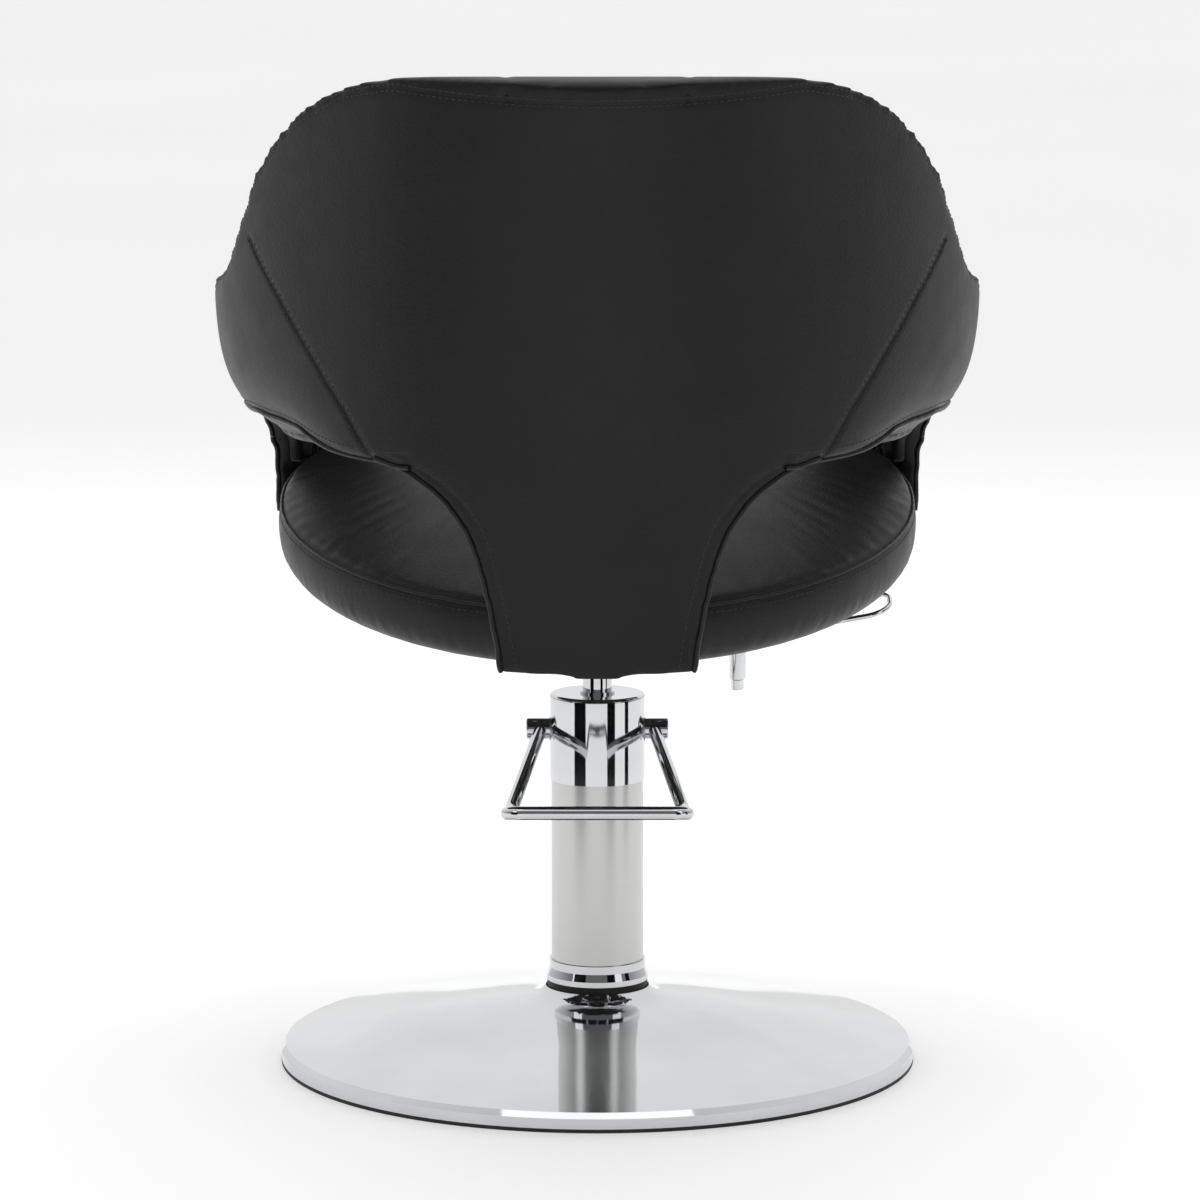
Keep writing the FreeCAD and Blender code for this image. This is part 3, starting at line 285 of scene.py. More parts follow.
@dataclass(frozen=True)
class Plywood:
    """Moulded beech veneer."""

    name: str

    def material(self) -> bpy.types.Material:
        """Long grain along the width with small pores."""
        shader = Shader(self.name, Specular_IOR_Level=0.3)
        grain = shader.noise(3.0, 6.0, shader.stretched((3.0, 30.0, 60.0)))
        shader.tones(grain, (0.40, 0.25, 0.13), (0.60, 0.43, 0.26))
        shader.roughness(grain, 0.5, 0.7)
        shader.relief([(grain, 0.2, 0.0003)])
        return shader.material


class Slot(Enum):
    """Material slots of the record with the finish of each."""

    edge_rubber = Coat("edge_rubber", (0.012,) * 3, (0.022,) * 3, 0.55, 0.75, 300.0, 0.0002)
    base_steel = Coat("base_steel", (0.05,) * 3, (0.075,) * 3, 0.4, 0.6, 180.0, 0.0002)
    chrome = Chrome("chrome")
    sleeve_steel = Brushed("sleeve_steel")
    seal_rubber = Coat("seal_rubber", (0.008,) * 3, (0.014,) * 3, 0.45, 0.65, 240.0, 0.0001)
    cast_iron = Metal("cast_iron", (0.14,) * 3, (0.24,) * 3, 0.45, 0.65, 140.0, 0.0005)
    bearing_brass = Metal("bearing_brass", (0.50, 0.35, 0.15), (0.66, 0.48, 0.22), 0.25, 0.4)
    plain_steel = Metal("plain_steel", (0.40, 0.40, 0.41), (0.56, 0.56, 0.55), 0.28, 0.45)
    bracket_paint = Coat("bracket_paint", (0.014,) * 3, (0.024,) * 3, 0.42, 0.58, 420.0, 0.00018)
    plywood = Plywood("plywood")
    seat_leather = Leather("seat_leather", (0.0042, 0.0042, 0.0045), (0.0078, 0.0078, 0.0082), smooth=0.32)
    foam = Coat("foam", (0.66, 0.62, 0.52), (0.78, 0.74, 0.64), 0.85, 0.95, 380.0, 0.0006, 0.1)
    cloth = Coat("cloth", (0.012,) * 3, (0.02,) * 3, 0.8, 0.95, 900.0, 0.0003, 0.15)
    shell_leather = Leather("shell_leather")
    thread = Coat("thread", (0.020,) * 3, (0.034,) * 3, 0.5, 0.65, 2400.0, 0.0001, 0.45)
    piping = Leather("piping", (0.006, 0.006, 0.006), (0.010, 0.010, 0.010), 900.0, 0.28, 0.40)


MATERIALS: dict[Slot, bpy.types.Material] = {}


def dress(obj: bpy.types.Object, slot: Slot) -> None:
    """Gives an object a finish.

    Args:
        obj: Object to dress.
        slot: Finish to give it.
    """
    if slot not in MATERIALS:
        MATERIALS[slot] = slot.value.material()
    obj.data.materials.clear()
    obj.data.materials.append(MATERIALS[slot])


# ---------------------------------------------------------------- seat frame and form of the shell
@dataclass(frozen=True)
class SeatFrame:
    """Frame in which seat, back and arms are level: its tilt and the height of its origin."""

    tilt: float
    height: float

    @classmethod
    def from_cad(cls) -> "SeatFrame":
        """Reads the tilt from the lever's post and the height from the seat's top cover."""
        lever = next(j for j in frame["joints"] if j["name"] == "tilt_lever")
        tilt = math.atan2(lever["axis"][1], lever["axis"][2])
        low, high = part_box("seat_top_cover")
        skin = 2 * MM
        radius = (high.x - low.x) / 2
        return cls(tilt, low.z + radius * math.sin(tilt) + skin * math.cos(tilt))

    def world(self, x: float, y: float, t: float) -> Vector:
        """Row frame point of a seat frame point, both in metres."""
        cos, sin = math.cos(self.tilt), math.sin(self.tilt)
        return Vector((x, y * cos + t * sin, self.height - y * sin + t * cos))

    def placed(self, places: np.ndarray) -> np.ndarray:
        """World points of seat frame places in millimetres."""
        x, y, t = places.T
        cos, sin = math.cos(self.tilt), math.sin(self.tilt)
        points = np.column_stack([x, y * cos + t * sin, -y * sin + t * cos]) * MM
        points[:, 2] += self.height
        return points

    def local(self, points: np.ndarray) -> np.ndarray:
        """Seat frame places of row frame points."""
        cos, sin = math.cos(self.tilt), math.sin(self.tilt)
        y, z = points[:, 1], points[:, 2] - self.height
        return np.column_stack([points[:, 0], y * cos - z * sin, y * sin + z * cos])


@dataclass(frozen=True)
class ShellForm:
    """Outside of the shell in the seat frame, in millimetres: the form that the covers are cut to."""

    place: SeatFrame
    rows: tuple = ((-70, 326, 326, 0), (0, 326, 326, 0), (60, 340.3, 331.8, 8), (150, 352, 340.4, 15),
                   (250, 352, 351.9, 20), (380, 345, 372.1, 25), (520, 330, 398, 30))
    crest: tuple = ((-205, 105), (-200, 140), (-191, 161), (-170, 180), (-145, 189), (-60, 208),
                    (40, 229), (118, 269), (172, 351), (234, 431), (300, 485), (340, 504), (440, 505))
    under: tuple = ((-105, 20), (-95, 45), (-75, 66), (-30, 78), (40, 88), (125, 106), (207, 121),
                    (300, 133))
    stem: tuple = ((89, -58), (97, -5), (110, 55), (119, 80), (133, 101), (150, 117), (168, 127),
                   (200, 135))
    side_seam: tuple = ((196, 130), (225, 178), (254, 222), (282, 265), (309, 307))
    sink: float = 7.0
    crest_band: float = 26.0
    crest_fade: float = 14.0
    back_band: float = 30.0
    back_fade: float = 8.0
    tuck_depth: float = 42.0
    tuck_fade: float = 32.0
    tuck_front: float = -100.0
    tuck_rise: float = 90.0
    tuck_back: float = 285.0
    tuck_fall: float = 120.0
    tuck_inner_share: float = 0.75
    wall: float = 50.0
    arm_inside: float = 150.0

    def section(self, t: float) -> tuple[float, float, float]:
        """Half width, rear reach and centre of the plan section at height t."""
        heights = [row[0] for row in self.rows]
        return tuple(float(np.interp(t, heights, [row[k] for row in self.rows])) for k in (1, 2, 3))

    def behind(self, x: float, t: float) -> Vector:
        """Point on the rear outside at width x and height t."""
        half, rear, centre = self.section(t)
        y = centre + (rear - centre) * math.sqrt(max(1 - (x / half) ** 2, 0.0))
        return self.place.world(x * MM, y * MM, t * MM)

    def beside(self, y: float, t: float, side: int) -> Vector:
        """Point on the outside of one side at depth y and height t."""
        half, rear, centre = self.section(t)
        x = side * half * math.sqrt(max(1 - ((y - centre) / (rear - centre)) ** 2, 0.0))
        return self.place.world(x * MM, y * MM, t * MM)

    def depths(self, places: np.ndarray) -> np.ndarray:
        """Depth below the outside of seat frame places, all in millimetres."""
        x, y, t = places.T
        heights = [row[0] for row in self.rows]
        half, rear, centre = (np.interp(t, heights, [row[k] for row in self.rows]) for k in (1, 2, 3))
        return (1 - np.hypot(x / half, (y - centre) / (rear - centre))) * half

    def nearness(self, points: np.ndarray) -> np.ndarray:
        """How near points are to a cushion's rim or back: 1 there, 0 on its open face."""
        places = self.place.local(points) / MM
        top = np.interp(places[:, 1], [y for y, _ in self.crest], [t for _, t in self.crest])
        at_crest = np.clip((self.crest_band - (top - places[:, 2])) / self.crest_fade, 0.0, 1.0)
        at_back = np.clip((self.back_band - self.depths(places)) / self.back_fade, 0.0, 1.0)
        return np.maximum(at_crest, at_back)

    def rim(self, points: np.ndarray) -> np.ndarray:
        """Points of a cushion that are sewn down and don't swell."""
        return self.nearness(points) > 0.3

    def sink_edges(self, obj: bpy.types.Object) -> None:
        """Sinks a cushion's rim and back below the folded edge of the cover."""
        points = points_of(obj)
        near = self.sink * self.nearness(points)
        x, y, t = (self.place.local(points) / MM).T
        centre = np.interp(t, [row[0] for row in self.rows], [row[3] for row in self.rows])
        reach = np.maximum(np.hypot(x, y - centre), 1.0)
        places = np.column_stack([x - near * x / reach, y - near * (y - centre) / reach, t - near])
        place_points(obj, self.place.placed(places))

    def panel_line(self, side: int) -> Line:
        """Seam between two back cushions where it runs over the top."""
        x = side * 78.0
        over = [self.place.world(x * MM, y * MM, 505.0 * MM) for y in (335.0, 350.0, 365.0, 380.0)]
        return over + [self.behind(x, 503.0), self.behind(x, 494.0)]

    def tuck(self, obj: bpy.types.Object) -> None:
        """Rounds the arms' lower edges inward, most at the outside and least at the cushions.

        Args:
            obj: Cover or cushion to round.
        """
        places = self.place.local(points_of(obj)) / MM
        x, y, t = places.T
        centre = np.interp(t, [row[0] for row in self.rows], [row[3] for row in self.rows])
        depth = np.clip(self.depths(places), 0.0, self.wall)
        edge = np.interp(y, [place[0] for place in self.under], [place[1] for place in self.under])
        above = np.clip(t - edge, 0.0, None)
        rise = np.clip((y - self.tuck_front) / self.tuck_rise, 0.0, 1.0)
        fall = np.clip((self.tuck_back - y) / self.tuck_fall, 0.0, 1.0)
        share = rise * rise * (3 - 2 * rise) * fall * fall * (3 - 2 * fall)
        move = self.tuck_depth * np.exp(-above / self.tuck_fade) * share
        move = move * (1 - self.tuck_inner_share * depth / self.wall)
        move *= np.abs(x) > self.arm_inside
        reach = np.maximum(np.hypot(x, y - centre), 1.0)
        x = x - move * x / reach
        y = y - move * (y - centre) / reach
        place_points(obj, self.place.placed(np.column_stack([x, y, t])))

    def crest_line(self, drop: float) -> Line:
        """Line drop millimetres below the upper edge, from one arm round the back to the other."""
        depths = [y for y, _ in self.crest]
        tops = [t for _, t in self.crest]
        line = []
        for angle in np.linspace(math.radians(-36), math.radians(216), 150):
            t = 400.0
            for _ in range(40):
                half, rear, centre = self.section(t)
                y = centre + (rear - centre) * math.sin(angle)
                t = 0.5 * t + 0.5 * float(np.interp(y, depths, tops))
            t -= drop
            half, rear, centre = self.section(t)
            place = (half * math.cos(angle) * MM, (centre + (rear - centre) * math.sin(angle)) * MM, t * MM)
            line.append(self.place.world(*place))
        return line

    def stem_line(self, side: int, inset: float) -> Line:
        """Edge of the stem, inset millimetres from it."""
        return [self.behind(side * (x - inset), t + 0.5 * inset) for x, t in self.stem]

    def under_line(self, side: int, inset: float) -> Line:
        """Lower edge of the arm from the leg back to the stem."""
        return [self.beside(y, t + inset, side) for y, t in self.under]

    def leg_line(self, side: int, inset: float) -> Line:
        """Rear edge of the leg, inset millimetres from it."""
        return [self.beside(-103 - inset, t, side) for t in (-56, -35, -10, 8, 20)]

    def seam_line(self, side: int, shift: float = 0.0) -> Line:
        """Side seam between back and arm covers, moved sideways by shift millimetres."""
        return [self.behind(side * (x + shift), t) for x, t in self.side_seam]


# ---------------------------------------------------------------- sewing
def link(name: str, data: bpy.types.ID) -> bpy.types.Object:
    """Adds an object to the scene."""
    obj = bpy.data.objects.new(name, data)
    bpy.context.scene.collection.objects.link(obj)
    return obj


def even(line: Line, pitch: float, closed: bool = False) -> Line:
    """Points at an even pitch along a line.

    Args:
        line: Points to follow.
        pitch: Distance between the new points in metres.
        closed: Whether the line joins its own start.

    Returns:
        The new points.
    """
    points = line + [line[0]] if closed else line
    runs = [0.0]
    for a, b in zip(points, points[1:]):
        runs.append(runs[-1] + (b - a).length)
    count = max(int(runs[-1] / pitch), 2)
    wanted = np.linspace(0.0, runs[-1], count + 1)
    if closed:
        wanted = wanted[:-1]
    axes = [np.interp(wanted, runs, [p[k] for p in points]) for k in range(3)]
    return [Vector(p) for p in zip(*axes)]


def surface_of(obj: bpy.types.Object) -> BVHTree:
    """Search tree of an object's faces."""
    return BVHTree.FromObject(obj, bpy.context.evaluated_depsgraph_get())


def laid(line: Line, tree: BVHTree, lift: float) -> list[tuple[Vector, Vector]]:
    """Lays points on a surface.

    Args:
        line: Points near the surface.
        tree: Faces of the surface.
        lift: Height above the surface in metres.

    Returns:
        Each point on the surface with the outward direction there.
    """
    found = []
    for point in line:
        place, normal, _, _ = tree.find_nearest(point)
        found.append((place + normal * lift, normal))
    return found


@dataclass
class Stitching:
    """Row of stitches: pitch, length and thickness of the thread in metres."""

    pitch: float = 6.0 * MM
    length: float = 4.0 * MM
    thread: float = 0.9 * MM

    def build(self, name: str, lines: list[Line], tree: BVHTree, closed: bool = False) -> bpy.types.Object:
        """Sews rows of stitches on a surface.

        Args:
            name: Name of the piece.
            lines: Lines to sew along.
            tree: Faces of the surface.
            closed: Whether the rows are rings.

        Returns:
            One object with all the stitches.
        """
        mesh = bpy.data.meshes.new(name)
        form = bmesh.new()
        for line in lines:
            spots = laid(even(line, self.pitch, closed), tree, 0.15 * self.thread)
            for (here, normal), (after, _) in zip(spots, spots[1:]):
                self.stitch(form, here, after, normal)
        form.to_mesh(mesh)
        form.free()
        mesh.shade_smooth()
        obj = link(name, mesh)
        dress(obj, Slot.thread)
        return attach(obj, SEAT_BODY)

    def stitch(self, form: bmesh.types.BMesh, here: Vector, after: Vector, normal: Vector) -> None:
        """One stitch: a short thread that dips into the leather at both ends."""
        along = (after - here).normalized()
        across = along.cross(normal).normalized()
        middle = (here + after) / 2
        rings = []
        for share in (-0.5, -0.3, 0.0, 0.3, 0.5):
            width = self.thread * (0.5 if abs(share) < 0.5 else 0.22)
            sink = -self.thread * (0.0 if abs(share) < 0.5 else 0.55)
            centre = middle + along * (share * self.length) + normal * sink
            ring = []
            for corner in range(6):
                turn = math.pi * corner / 3
                ring.append(form.verts.new(centre + across * (width * math.cos(turn))
                                           + normal * (width * math.sin(turn))))
            rings.append(ring)
        for low, high in zip(rings, rings[1:]):
            for k in range(6):
                form.faces.new((low[k], low[(k + 1) % 6], high[(k + 1) % 6], high[k]))
        form.faces.new(rings[0][::-1])
        form.faces.new(rings[-1])


@dataclass
class Piping:
    """Covered cord sewn into a seam, with its radius in metres."""

    radius: float = 2.4 * MM

    def build(self, name: str, line: Line, tree: BVHTree, closed: bool = False) -> bpy.types.Object:
        """Lays the cord along a line on a surface.

        Args:
            name: Name of the piece.
            line: Line to follow.
            tree: Faces of the surface.
            closed: Whether the cord is a ring.

        Returns:
            The cord.
        """
        curve = bpy.data.curves.new(name, "CURVE")
        curve.dimensions = "3D"
        curve.bevel_depth = self.radius
        curve.bevel_resolution = 4
        curve.use_fill_caps = True
        spots = laid(even(line, 4.0 * MM, closed), tree, 0.35 * self.radius)
        spline = curve.splines.new("POLY")
        spline.points.add(len(spots) - 1)
        for point, (place, _) in zip(spline.points, spots):
            point.co = (*place, 1.0)
        spline.use_cyclic_u = closed
        path = link(name + "_path", curve)
        bpy.context.view_layer.update()
        shown = path.evaluated_get(bpy.context.evaluated_depsgraph_get())
        mesh = bpy.data.meshes.new_from_object(shown)
        bpy.data.objects.remove(path)
        obj = link(name, mesh)
        dress(obj, Slot.piping)
        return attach(obj, SEAT_BODY)


@dataclass
class Padding:
    """Stuffed piece that starts from CAD solids: sizes in metres."""

    name: str
    nodes: tuple[str, ...]
    slot: Slot
    voxel: float = 5.0 * MM
    start_in: float = 2.0 * MM
    cap: float = 6.0 * MM
    pressure: float = 4.0
    rounding: int = 6
    fill: float = 0.8
    hidden: tuple[str, ...] = ()
    taut: bool = False
    frames: int = 20
    steps: int = 4
    stretch: float = 12.0
    bend: float = 0.6

    def build(self, held: Optional[Callable[[np.ndarray], np.ndarray]] = None) -> bpy.types.Object:
        """Rounds the solids into one padded form and, unless it is taut, lets it swell.

        Args:
            held: Tells from the points which of them are sewn down.

        Returns:
            The padded piece.
        """
        obj = self.gathered()
        self.applied(obj, "REMESH", mode="VOXEL", voxel_size=self.voxel)
        self.applied(obj, "SMOOTH", factor=0.5, iterations=self.rounding)
        self.shrink(obj)
        if not (self.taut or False):
            self.swell(obj, held)
        self.applied(obj, "SUBSURF", levels=1, render_levels=1)
        obj.data.shade_smooth()
        return obj

    def gathered(self) -> bpy.types.Object:
        """Copies the solids' faces into one new mesh."""
        form = bmesh.new()
        for node in self.nodes:
            form.from_mesh(frame["nodes"][node].data)
        bmesh.ops.remove_doubles(form, verts=form.verts, dist=0.01 * MM)
        mesh = bpy.data.meshes.new(self.name)
        form.to_mesh(mesh)
        form.free()
        return link(self.name, mesh)

    def applied(self, obj: bpy.types.Object, kind: str, **values: object) -> None:
        """Adds a modifier and applies it at once."""
        bpy.context.view_layer.objects.active = obj
        modifier = obj.modifiers.new(kind.lower(), kind)
        for key, value in values.items():
            setattr(modifier, key, value)
        bpy.ops.object.modifier_apply(modifier=modifier.name)

    def shrink(self, obj: bpy.types.Object) -> None:
        """Draws the surface in by start_in, the room that the swelling takes."""
        places, normals = points_of(obj), normals_of(obj)
        place_points(obj, places - normals * self.start_in)

    def swell(self, obj: bpy.types.Object, held: Optional[Callable[[np.ndarray], np.ndarray]]) -> None:
        """Runs the cloth for twenty frames and keeps each point within cap of its start."""
        scene = bpy.context.scene
        before = points_of(obj)
        cloth = obj.modifiers.new("swell", "CLOTH")
        settings = cloth.settings
        settings.quality = self.steps
        settings.use_pressure = True
        settings.uniform_pressure_force = self.pressure
        settings.effector_weights.gravity = 0.0
        settings.tension_stiffness = self.stretch
        settings.compression_stiffness = self.stretch
        settings.bending_stiffness = self.bend
        cloth.collision_settings.use_collision = False
        if held is not None:
            group = obj.vertex_groups.new(name="sewn")
            group.add([int(k) for k in np.flatnonzero(held(before))], 1.0, "REPLACE")
            settings.vertex_group_mass = group.name
        cloth.point_cache.frame_end = self.frames
        for step in range(1, self.frames + 1):
            scene.frame_set(step)
        shown = obj.evaluated_get(bpy.context.evaluated_depsgraph_get())
        after = points_of(shown)
        obj.modifiers.remove(cloth)
        obj.vertex_groups.clear()
        scene.frame_set(1)
        move = after - before
        reach = np.linalg.norm(move, axis=1, keepdims=True)
        if after.shape == before.shape and np.isfinite(reach).all():
            scale = self.cap * np.tanh(reach / self.cap) / np.maximum(reach, 1e-9)
            place_points(obj, before + move * scale)
        else:
            LOG.warning("%s kept its unswollen form", self.name)

    def finish(self, obj: bpy.types.Object) -> bpy.types.Object:
        """Dresses the piece, hides the solids that it stands for and rides it on the seat."""
        dress(obj, self.slot)
        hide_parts(*(self.hidden or self.nodes))
        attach(obj, SEAT_BODY)
        LOG.info("%s: %d faces", self.name, len(obj.data.polygons))
        return obj


def points_of(obj: bpy.types.Object) -> np.ndarray:
    """Places of an object's points."""
    flat = np.zeros(len(obj.data.vertices) * 3, np.float32)
    obj.data.vertices.foreach_get("co", flat)
    return flat.reshape(-1, 3).astype(float)


def normals_of(obj: bpy.types.Object) -> np.ndarray:
    """Outward directions at an object's points."""
    flat = np.zeros(len(obj.data.vertices) * 3, np.float32)
    obj.data.vertex_normals.foreach_get("vector", flat)
    return flat.reshape(-1, 3).astype(float)


def place_points(obj: bpy.types.Object, places: np.ndarray) -> None:
    """Moves an object's points."""
    obj.data.vertices.foreach_set("co", places.astype(np.float32).ravel())
    obj.data.update()


@dataclass(frozen=True)
class Groove:
    """Groove, or ridge where depth is negative, with its reach to each side; in millimetres."""

    depth: float
    width: float


def press(obj: bpy.types.Object, lines: list[Line], groove: Groove) -> None:
    """Presses grooves into a surface along lines.

    Args:
        obj: Mesh to press.
        lines: Lines to follow.
        groove: Groove to press.
    """
    depth = groove.depth * MM
    width = groove.width * MM
    places, normals = points_of(obj), normals_of(obj)
    marks = np.array([p for line in lines for p in even(line, 2.0 * MM)])
    low, high = marks.min(0) - 4 * width, marks.max(0) + 4 * width
    near = np.flatnonzero(((places > low) & (places < high)).all(1))
    tree = KDTree(len(marks))
    for k, mark in enumerate(marks):
        tree.insert(mark, k)
    tree.balance()
    away = np.array([tree.find(places[k])[2] for k in near])
    places[near] -= normals[near] * (depth * np.exp(-(away / width) ** 2))[:, None]
    place_points(obj, places)


# ---------------------------------------------------------------- seat
@dataclass
class Seat:
    """Round seat cushion with a welted top seam; sizes in metres."""

    place: SeatFrame
    seam_radius: float = 297.0 * MM
    side_radius: float = 300.0 * MM
    welt_drop: float = 4.0 * MM
    stitch_drop: float = 9.5 * MM
    seam_groove: Groove = Groove(2.2, 3.2)
    welt_ridge: Groove = Groove(-0.9, 2.4)
    stitch_groove: Groove = Groove(0.9, 1.8)

    def ring(self, radius: float, t: float) -> Line:
        """Level ring in the seat frame."""
        turns = np.linspace(0.0, 2 * math.pi, 241)[:-1]
        return [self.place.world(radius * math.sin(a), radius * math.cos(a), t) for a in turns]

    def build(self) -> None:
        """Builds the cushion, its welt, its stitches and the folds where it is pinched."""
        nodes = ("seat_top_cover", "seat_band", "seat_foam")
        padding = Padding("seat_cushion", nodes, Slot.seat_leather, cap=7.0 * MM, start_in=1.5 * MM,
                          rounding=4, fill=0.9)
        cushion = padding.build(self.sewn)
        press(cushion, [self.ring(self.seam_radius, 0.0)], self.seam_groove)
        press(cushion, [self.ring(self.side_radius, -self.welt_drop)], self.welt_ridge)
        press(cushion, [self.ring(self.side_radius, -self.stitch_drop)], self.stitch_groove)
        self.crease(cushion)
        padding.finish(cushion)
        tree = surface_of(cushion)
        Stitching().build("seat_stitches", [self.ring(301.0 * MM, -self.stitch_drop)], tree, closed=True)
        welt = Piping(1.5 * MM).build("seat_welt", self.ring(299.5 * MM, -0.6 * MM), tree, closed=True)
        dress(welt, Slot.piping)

    def sewn(self, points: np.ndarray) -> np.ndarray:
        """Points at the top seam and under the seat, which don't swell."""
        places = self.place.local(points)
        radius = np.hypot(places[:, 0], places[:, 1])
        at_seam = (np.abs(places[:, 2]) < 4 * MM) & (radius > self.seam_radius - 8 * MM)
        return at_seam | (places[:, 2] < -60 * MM)

    def crease(self, cushion: bpy.types.Object) -> None:
        """Small folds that run in from the seam, deepest at the seam, and along the lower rim."""
        points, normals = points_of(cushion), normals_of(cushion)
        places = self.place.local(points)
        radius = np.hypot(places[:, 0], places[:, 1])
        turn = np.arctan2(places[:, 0], places[:, 1])
        folds = np.sin(turn * 61.0 + 1.7 * np.sin(turn * 7.0)) * np.sin(turn * 23.0 + 0.6)
        near_seam = np.exp(-((radius - self.seam_radius) / (22 * MM)) ** 2)
        top = near_seam * (places[:, 2] > 0)
        rim = np.exp(-((places[:, 2] + 44 * MM) / (11 * MM)) ** 2) * (radius > 270 * MM)
        depth = 0.55 * MM * folds * top + 0.5 * MM * np.sin(turn * 47.0 + 2.0) * folds * rim
        place_points(cushion, points - normals * depth[:, None])


@dataclass
class DustCloth:
    """Cloth stapled under the seat board; sizes in metres."""

    place: SeatFrame
    radius: float = 254.0 * MM
    level: float = -68.5 * MM
    thickness: float = 0.5 * MM
    slack: float = 0.35 * MM
    rings: int = 40
    spokes: int = 96

    def build(self) -> None:
        """Builds the round sheet, gathered into small folds at its rim."""
        form = bmesh.new()
        rows = [[form.verts.new(self.spot(k / self.rings, m)) for m in range(self.spokes)]
                for k in range(1, self.rings + 1)]
        middle = form.verts.new(self.spot(0.0, 0))
        for m in range(self.spokes):
            after = (m + 1) % self.spokes
            form.faces.new((middle, rows[0][m], rows[0][after]))
            for low, high in zip(rows, rows[1:]):
                form.faces.new((low[m], high[m], high[after], low[after]))
        mesh = bpy.data.meshes.new("dust_sheet")
        form.to_mesh(mesh)
        form.free()
        mesh.shade_smooth()
        obj = link("dust_sheet", mesh)
        solid = obj.modifiers.new("thickness", "SOLIDIFY")
        solid.thickness = self.thickness
        solid.offset = 0.0
        dress(obj, Slot.cloth)
        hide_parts("dust_cloth")
        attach(obj, SEAT_BODY)
        LOG.info("dust_sheet: %d faces", len(mesh.polygons))

    def spot(self, share: float, spoke: int) -> Vector:
        """Point of the sheet at a share of its radius along one spoke."""
        turn = 2.0 * math.pi * spoke / self.spokes
        fold = math.sin(turn * 17.0 + 2.0 * math.sin(turn * 5.0)) * share ** 4
        reach = self.radius * share
        return self.place.world(reach * math.sin(turn), reach * math.cos(turn),
                                self.level + self.slack * fold)


# ---------------------------------------------------------------- back and arms
@dataclass
class BackAndArms:
    """Outer cover and inner cushions of the shell, with their seams; drops in millimetres."""

    form: ShellForm
    fold_drop: float = 9.5
    row_gap: float = 3.0
    strip: float = 13.0
    crest_groove: Groove = Groove(0.7, 5.0)
    side_groove: Groove = Groove(1.5, 3.6)
    panel_groove: Groove = Groove(1.8, 3.6)
    strip_groove: Groove = Groove(0.9, 4.0)
    thread_inset: float = 3.0
    cord_inset: float = 1.5
    pieces: dict[str, bpy.types.Object] = field(default_factory=dict)

    def build(self) -> None:
        """Builds cover, cushions and sewing."""
        self.build_cover()
        self.build_cushions()
        self.sew_cover()

    def build_cover(self) -> None:
        """Outer cover: one sewn piece over the moulded shell."""
        covers = ("back_cover", "arm_cover_left", "arm_cover_right", "shell_core")
        padding = Padding("outer_cover", covers + CUSHIONS, Slot.shell_leather, start_in=0.0,
                          rounding=14, fill=1.0, hidden=covers, taut=True)
        cover = padding.build()
        form = self.form
        sides = (-1, 1)
        press(cover, [form.crest_line(self.fold_drop)], self.crest_groove)
        press(cover, [form.seam_line(s) for s in sides], self.side_groove)
        press(cover, [form.panel_line(s) for s in sides], self.panel_groove)
        edges = [form.stem_line(s, self.strip) for s in sides]
        edges += [form.under_line(s, self.strip) for s in sides]
        edges += [form.leg_line(s, self.strip) for s in sides]
        press(cover, edges, self.strip_groove)
        form.tuck(cover)
        padding.finish(cover)
        self.pieces["cover"] = cover

    def build_cushions(self) -> None:
        """Inner cushions, each swollen between its own seams."""
        for name in CUSHIONS:
            back = name.startswith("back")
            padding = Padding(name.replace("pad", "cushion"), (name,), Slot.shell_leather, voxel=6.0 * MM,
                              start_in=-0.6 * MM, cap=(6.0 if back else 2.5) * MM, rounding=7)
            cushion = padding.build(self.form.rim)
            self.form.sink_edges(cushion)
            self.form.tuck(cushion)
            padding.finish(cushion)

    def sew_cover(self) -> None:
        """Stitch rows and piped edges on the outer cover."""
        tree = surface_of(self.pieces["cover"])
        form = self.form
        sides = (-1, 1)
        rows = [form.crest_line(self.fold_drop + gap) for gap in (-self.row_gap, self.row_gap)]
        sewing = Stitching()
        sewing.build("crest_stitches", rows, tree)
        seams = [form.seam_line(s, shift) for s in sides for shift in (-self.row_gap, self.row_gap)]
        sewing.build("side_seam_stitches", seams, tree)
        strips = [form.stem_line(s, self.strip + self.thread_inset) for s in sides]
        strips += [form.under_line(s, self.strip + self.thread_inset) for s in sides]
        sewing.build("edge_stitches", strips, tree)
        for side, word in zip(sides, ("right", "left")):
            for part, edge in (("stem", form.stem_line), ("arm", form.under_line), ("leg", form.leg_line)):
                Piping().build(f"{part}_piping_{word}", edge(side, self.cord_inset), tree)


# ---------------------------------------------------------------- metalwork and studio
@dataclass
class Frame:
    """CAD nodes that keep their shape and get their finish; shown names those dressed otherwise."""

    shown: dict[str, Slot] = field(default_factory=lambda: {"axle_bushes": Slot.plain_steel})

    def build(self) -> None:
        """Dresses every node by its slot in the record."""
        for row in frame["record"]["subparts"]:
            kept = Slot[row["material_slot"]]
            shown = self.shown.get(row["node"], kept)
            dress(frame["nodes"][row["node"]], shown)
            LOG.info("%s: %s", row["node"], row["material_slot"])


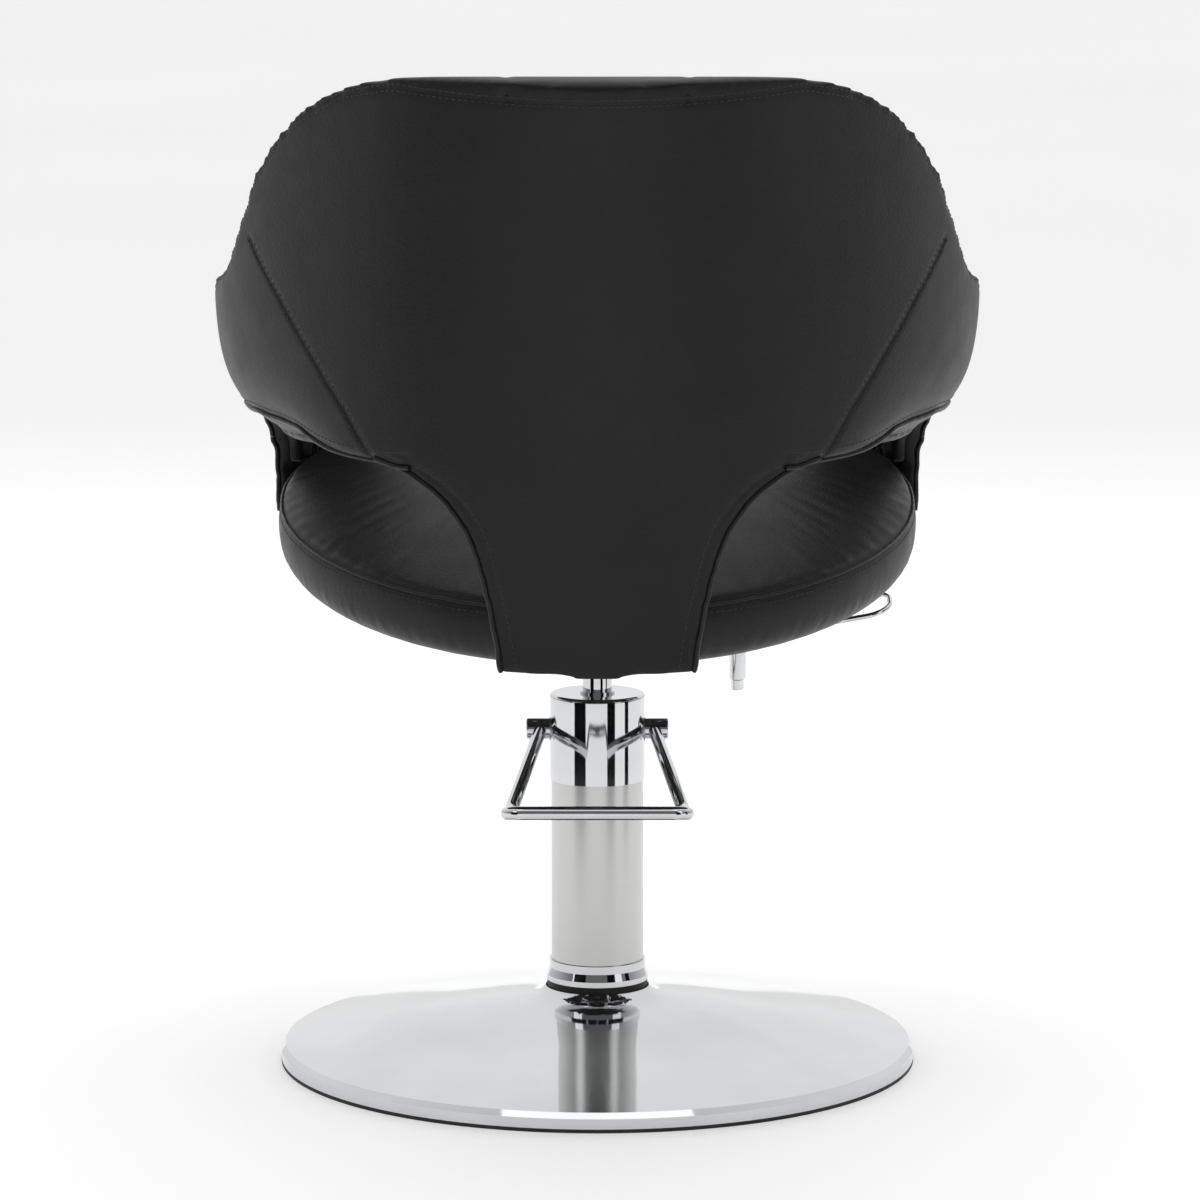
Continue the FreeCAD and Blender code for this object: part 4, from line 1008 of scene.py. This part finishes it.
@dataclass
class Studio:
    """Pale floor, soft lights and the camera; sizes in metres."""

    distance: float = 5.5
    height: float = 1.32
    pitch: float = 80.9
    lens: float = 177.8
    shift: float = 0.0022
    horizon: float = 0.16
    zenith: float = 0.95
    full_rise: float = 0.7
    bright_way: Colour = (0.0, -0.6, 0.8)

    def build(self) -> None:
        """Sets the whole studio up."""
        self.floor()
        self.sky()
        self.softbox("overhead", (0.0, 0.6, 3.6), (0.0, 0.0, 0.5), 3.4, 3.0, 26.0)
        self.softbox("left", (3.1, 2.6, 1.9), (0.0, 0.0, 0.5), 1.5, 2.4, 13.0)
        self.softbox("right", (-3.1, 2.6, 1.9), (0.0, 0.0, 0.5), 1.5, 2.4, 11.0)
        self.softbox("far", (0.0, -3.2, 2.6), (0.0, 0.0, 0.6), 3.0, 1.6, 22.0)
        self.card("flag_left", math.radians(42), 0.33)
        self.card("flag_right", math.radians(-33), 0.22)
        self.card("flag_side", math.radians(-74), 0.12)
        self.camera()

    def floor(self) -> None:
        """Plain pale floor."""
        mesh = bpy.data.meshes.new("floor")
        reach = 45.0
        corners = [(-reach, -reach, 0), (reach, -reach, 0), (reach, reach, 0), (-reach, reach, 0)]
        mesh.from_pydata(corners, [], [(0, 1, 2, 3)])
        obj = link("floor", mesh)
        shader = Shader("studio_floor", Specular_IOR_Level=0.1, Emission_Strength=0.22)
        shader.surface.inputs["Emission Color"].default_value = (1.0, 1.0, 1.0, 1.0)
        shader.tones(shader.noise(0.6, 2.0), (0.90, 0.90, 0.90), (0.92, 0.92, 0.92))
        shader.roughness(shader.noise(2.0, 2.0), 0.55, 0.65)
        obj.data.materials.append(shader.material)

    def sky(self) -> None:
        """Surroundings that are bright overhead and far off, and dim on the near side."""
        world = bpy.data.worlds.new("studio")
        bpy.context.scene.world = world
        world.use_nodes = True
        tree = world.node_tree
        place = tree.nodes.new("ShaderNodeTexCoord")
        along = tree.nodes.new("ShaderNodeVectorMath")
        along.operation = "DOT_PRODUCT"
        along.inputs[1].default_value = self.bright_way
        rise = tree.nodes.new("ShaderNodeMapRange")
        rise.inputs["From Min"].default_value = 0.0
        rise.inputs["From Max"].default_value = self.full_rise
        rise.inputs["To Min"].default_value = self.horizon
        rise.inputs["To Max"].default_value = self.zenith
        tree.links.new(place.outputs["Generated"], along.inputs[0])
        tree.links.new(along.outputs["Value"], rise.inputs["Value"])
        tree.links.new(rise.outputs["Result"], tree.nodes["Background"].inputs["Strength"])
        tree.nodes["Background"].inputs["Color"].default_value = (1.0, 1.0, 1.0, 1.0)
        bpy.context.scene.view_settings.view_transform = "Standard"

    def softbox(self, name: str, place: Colour, aim: Colour, width: float, depth: float, power: float
                ) -> None:
        """Rectangular soft light."""
        light = bpy.data.lights.new(name, "AREA")
        light.shape = "RECTANGLE"
        light.size = width
        light.size_y = depth
        light.energy = power
        obj = link(name, light)
        obj.location = place
        obj.rotation_euler = (Vector(aim) - Vector(place)).to_track_quat("-Z", "Y").to_euler()
        obj.visible_glossy = name != "far"

    def card(self, name: str, turn: float, half: float) -> None:
        """Dark card on the floor that only shows in reflections, turned from straight behind."""
        mesh = bpy.data.meshes.new(name)
        away, tall = 1.3, 0.75
        mesh.from_pydata([(-half, 0, 0), (half, 0, 0), (half, 0, tall), (-half, 0, tall)], [],
                         [(0, 1, 2, 3)])
        obj = link(name, mesh)
        obj.location = (away * math.sin(turn), away * math.cos(turn), 0.002)
        obj.rotation_euler = (0.0, 0.0, -turn)
        shader = Shader("studio_card", Specular_IOR_Level=0.0, Roughness=1.0)
        shader.tones(shader.noise(1.0, 1.0), (0.004,) * 3, (0.006,) * 3)
        obj.data.materials.append(shader.material)
        obj.visible_camera = False
        obj.visible_shadow = False
        obj.visible_diffuse = False

    def camera(self) -> None:
        """Camera behind the chair."""
        data = bpy.data.cameras.new("camera")
        data.sensor_width = 36.0
        data.lens = self.lens
        data.shift_x = self.shift
        obj = link("camera", data)
        obj.location = (0.0, self.distance, self.height)
        obj.rotation_euler = (math.radians(self.pitch), 0.0, math.pi)
        bpy.context.scene.camera = obj


def main() -> None:
    """Builds the classes in order."""
    logging.basicConfig(level=logging.INFO, format="%(message)s")
    place = SeatFrame.from_cad()
    LOG.info("seat frame: tilt %.2f degrees, height %.4f m", math.degrees(place.tilt), place.height)
    Frame().build()
    Seat(place).build()
    DustCloth(place).build()
    BackAndArms(ShellForm(place)).build()
    Studio().build()


if __name__ == "__main__":
    main()
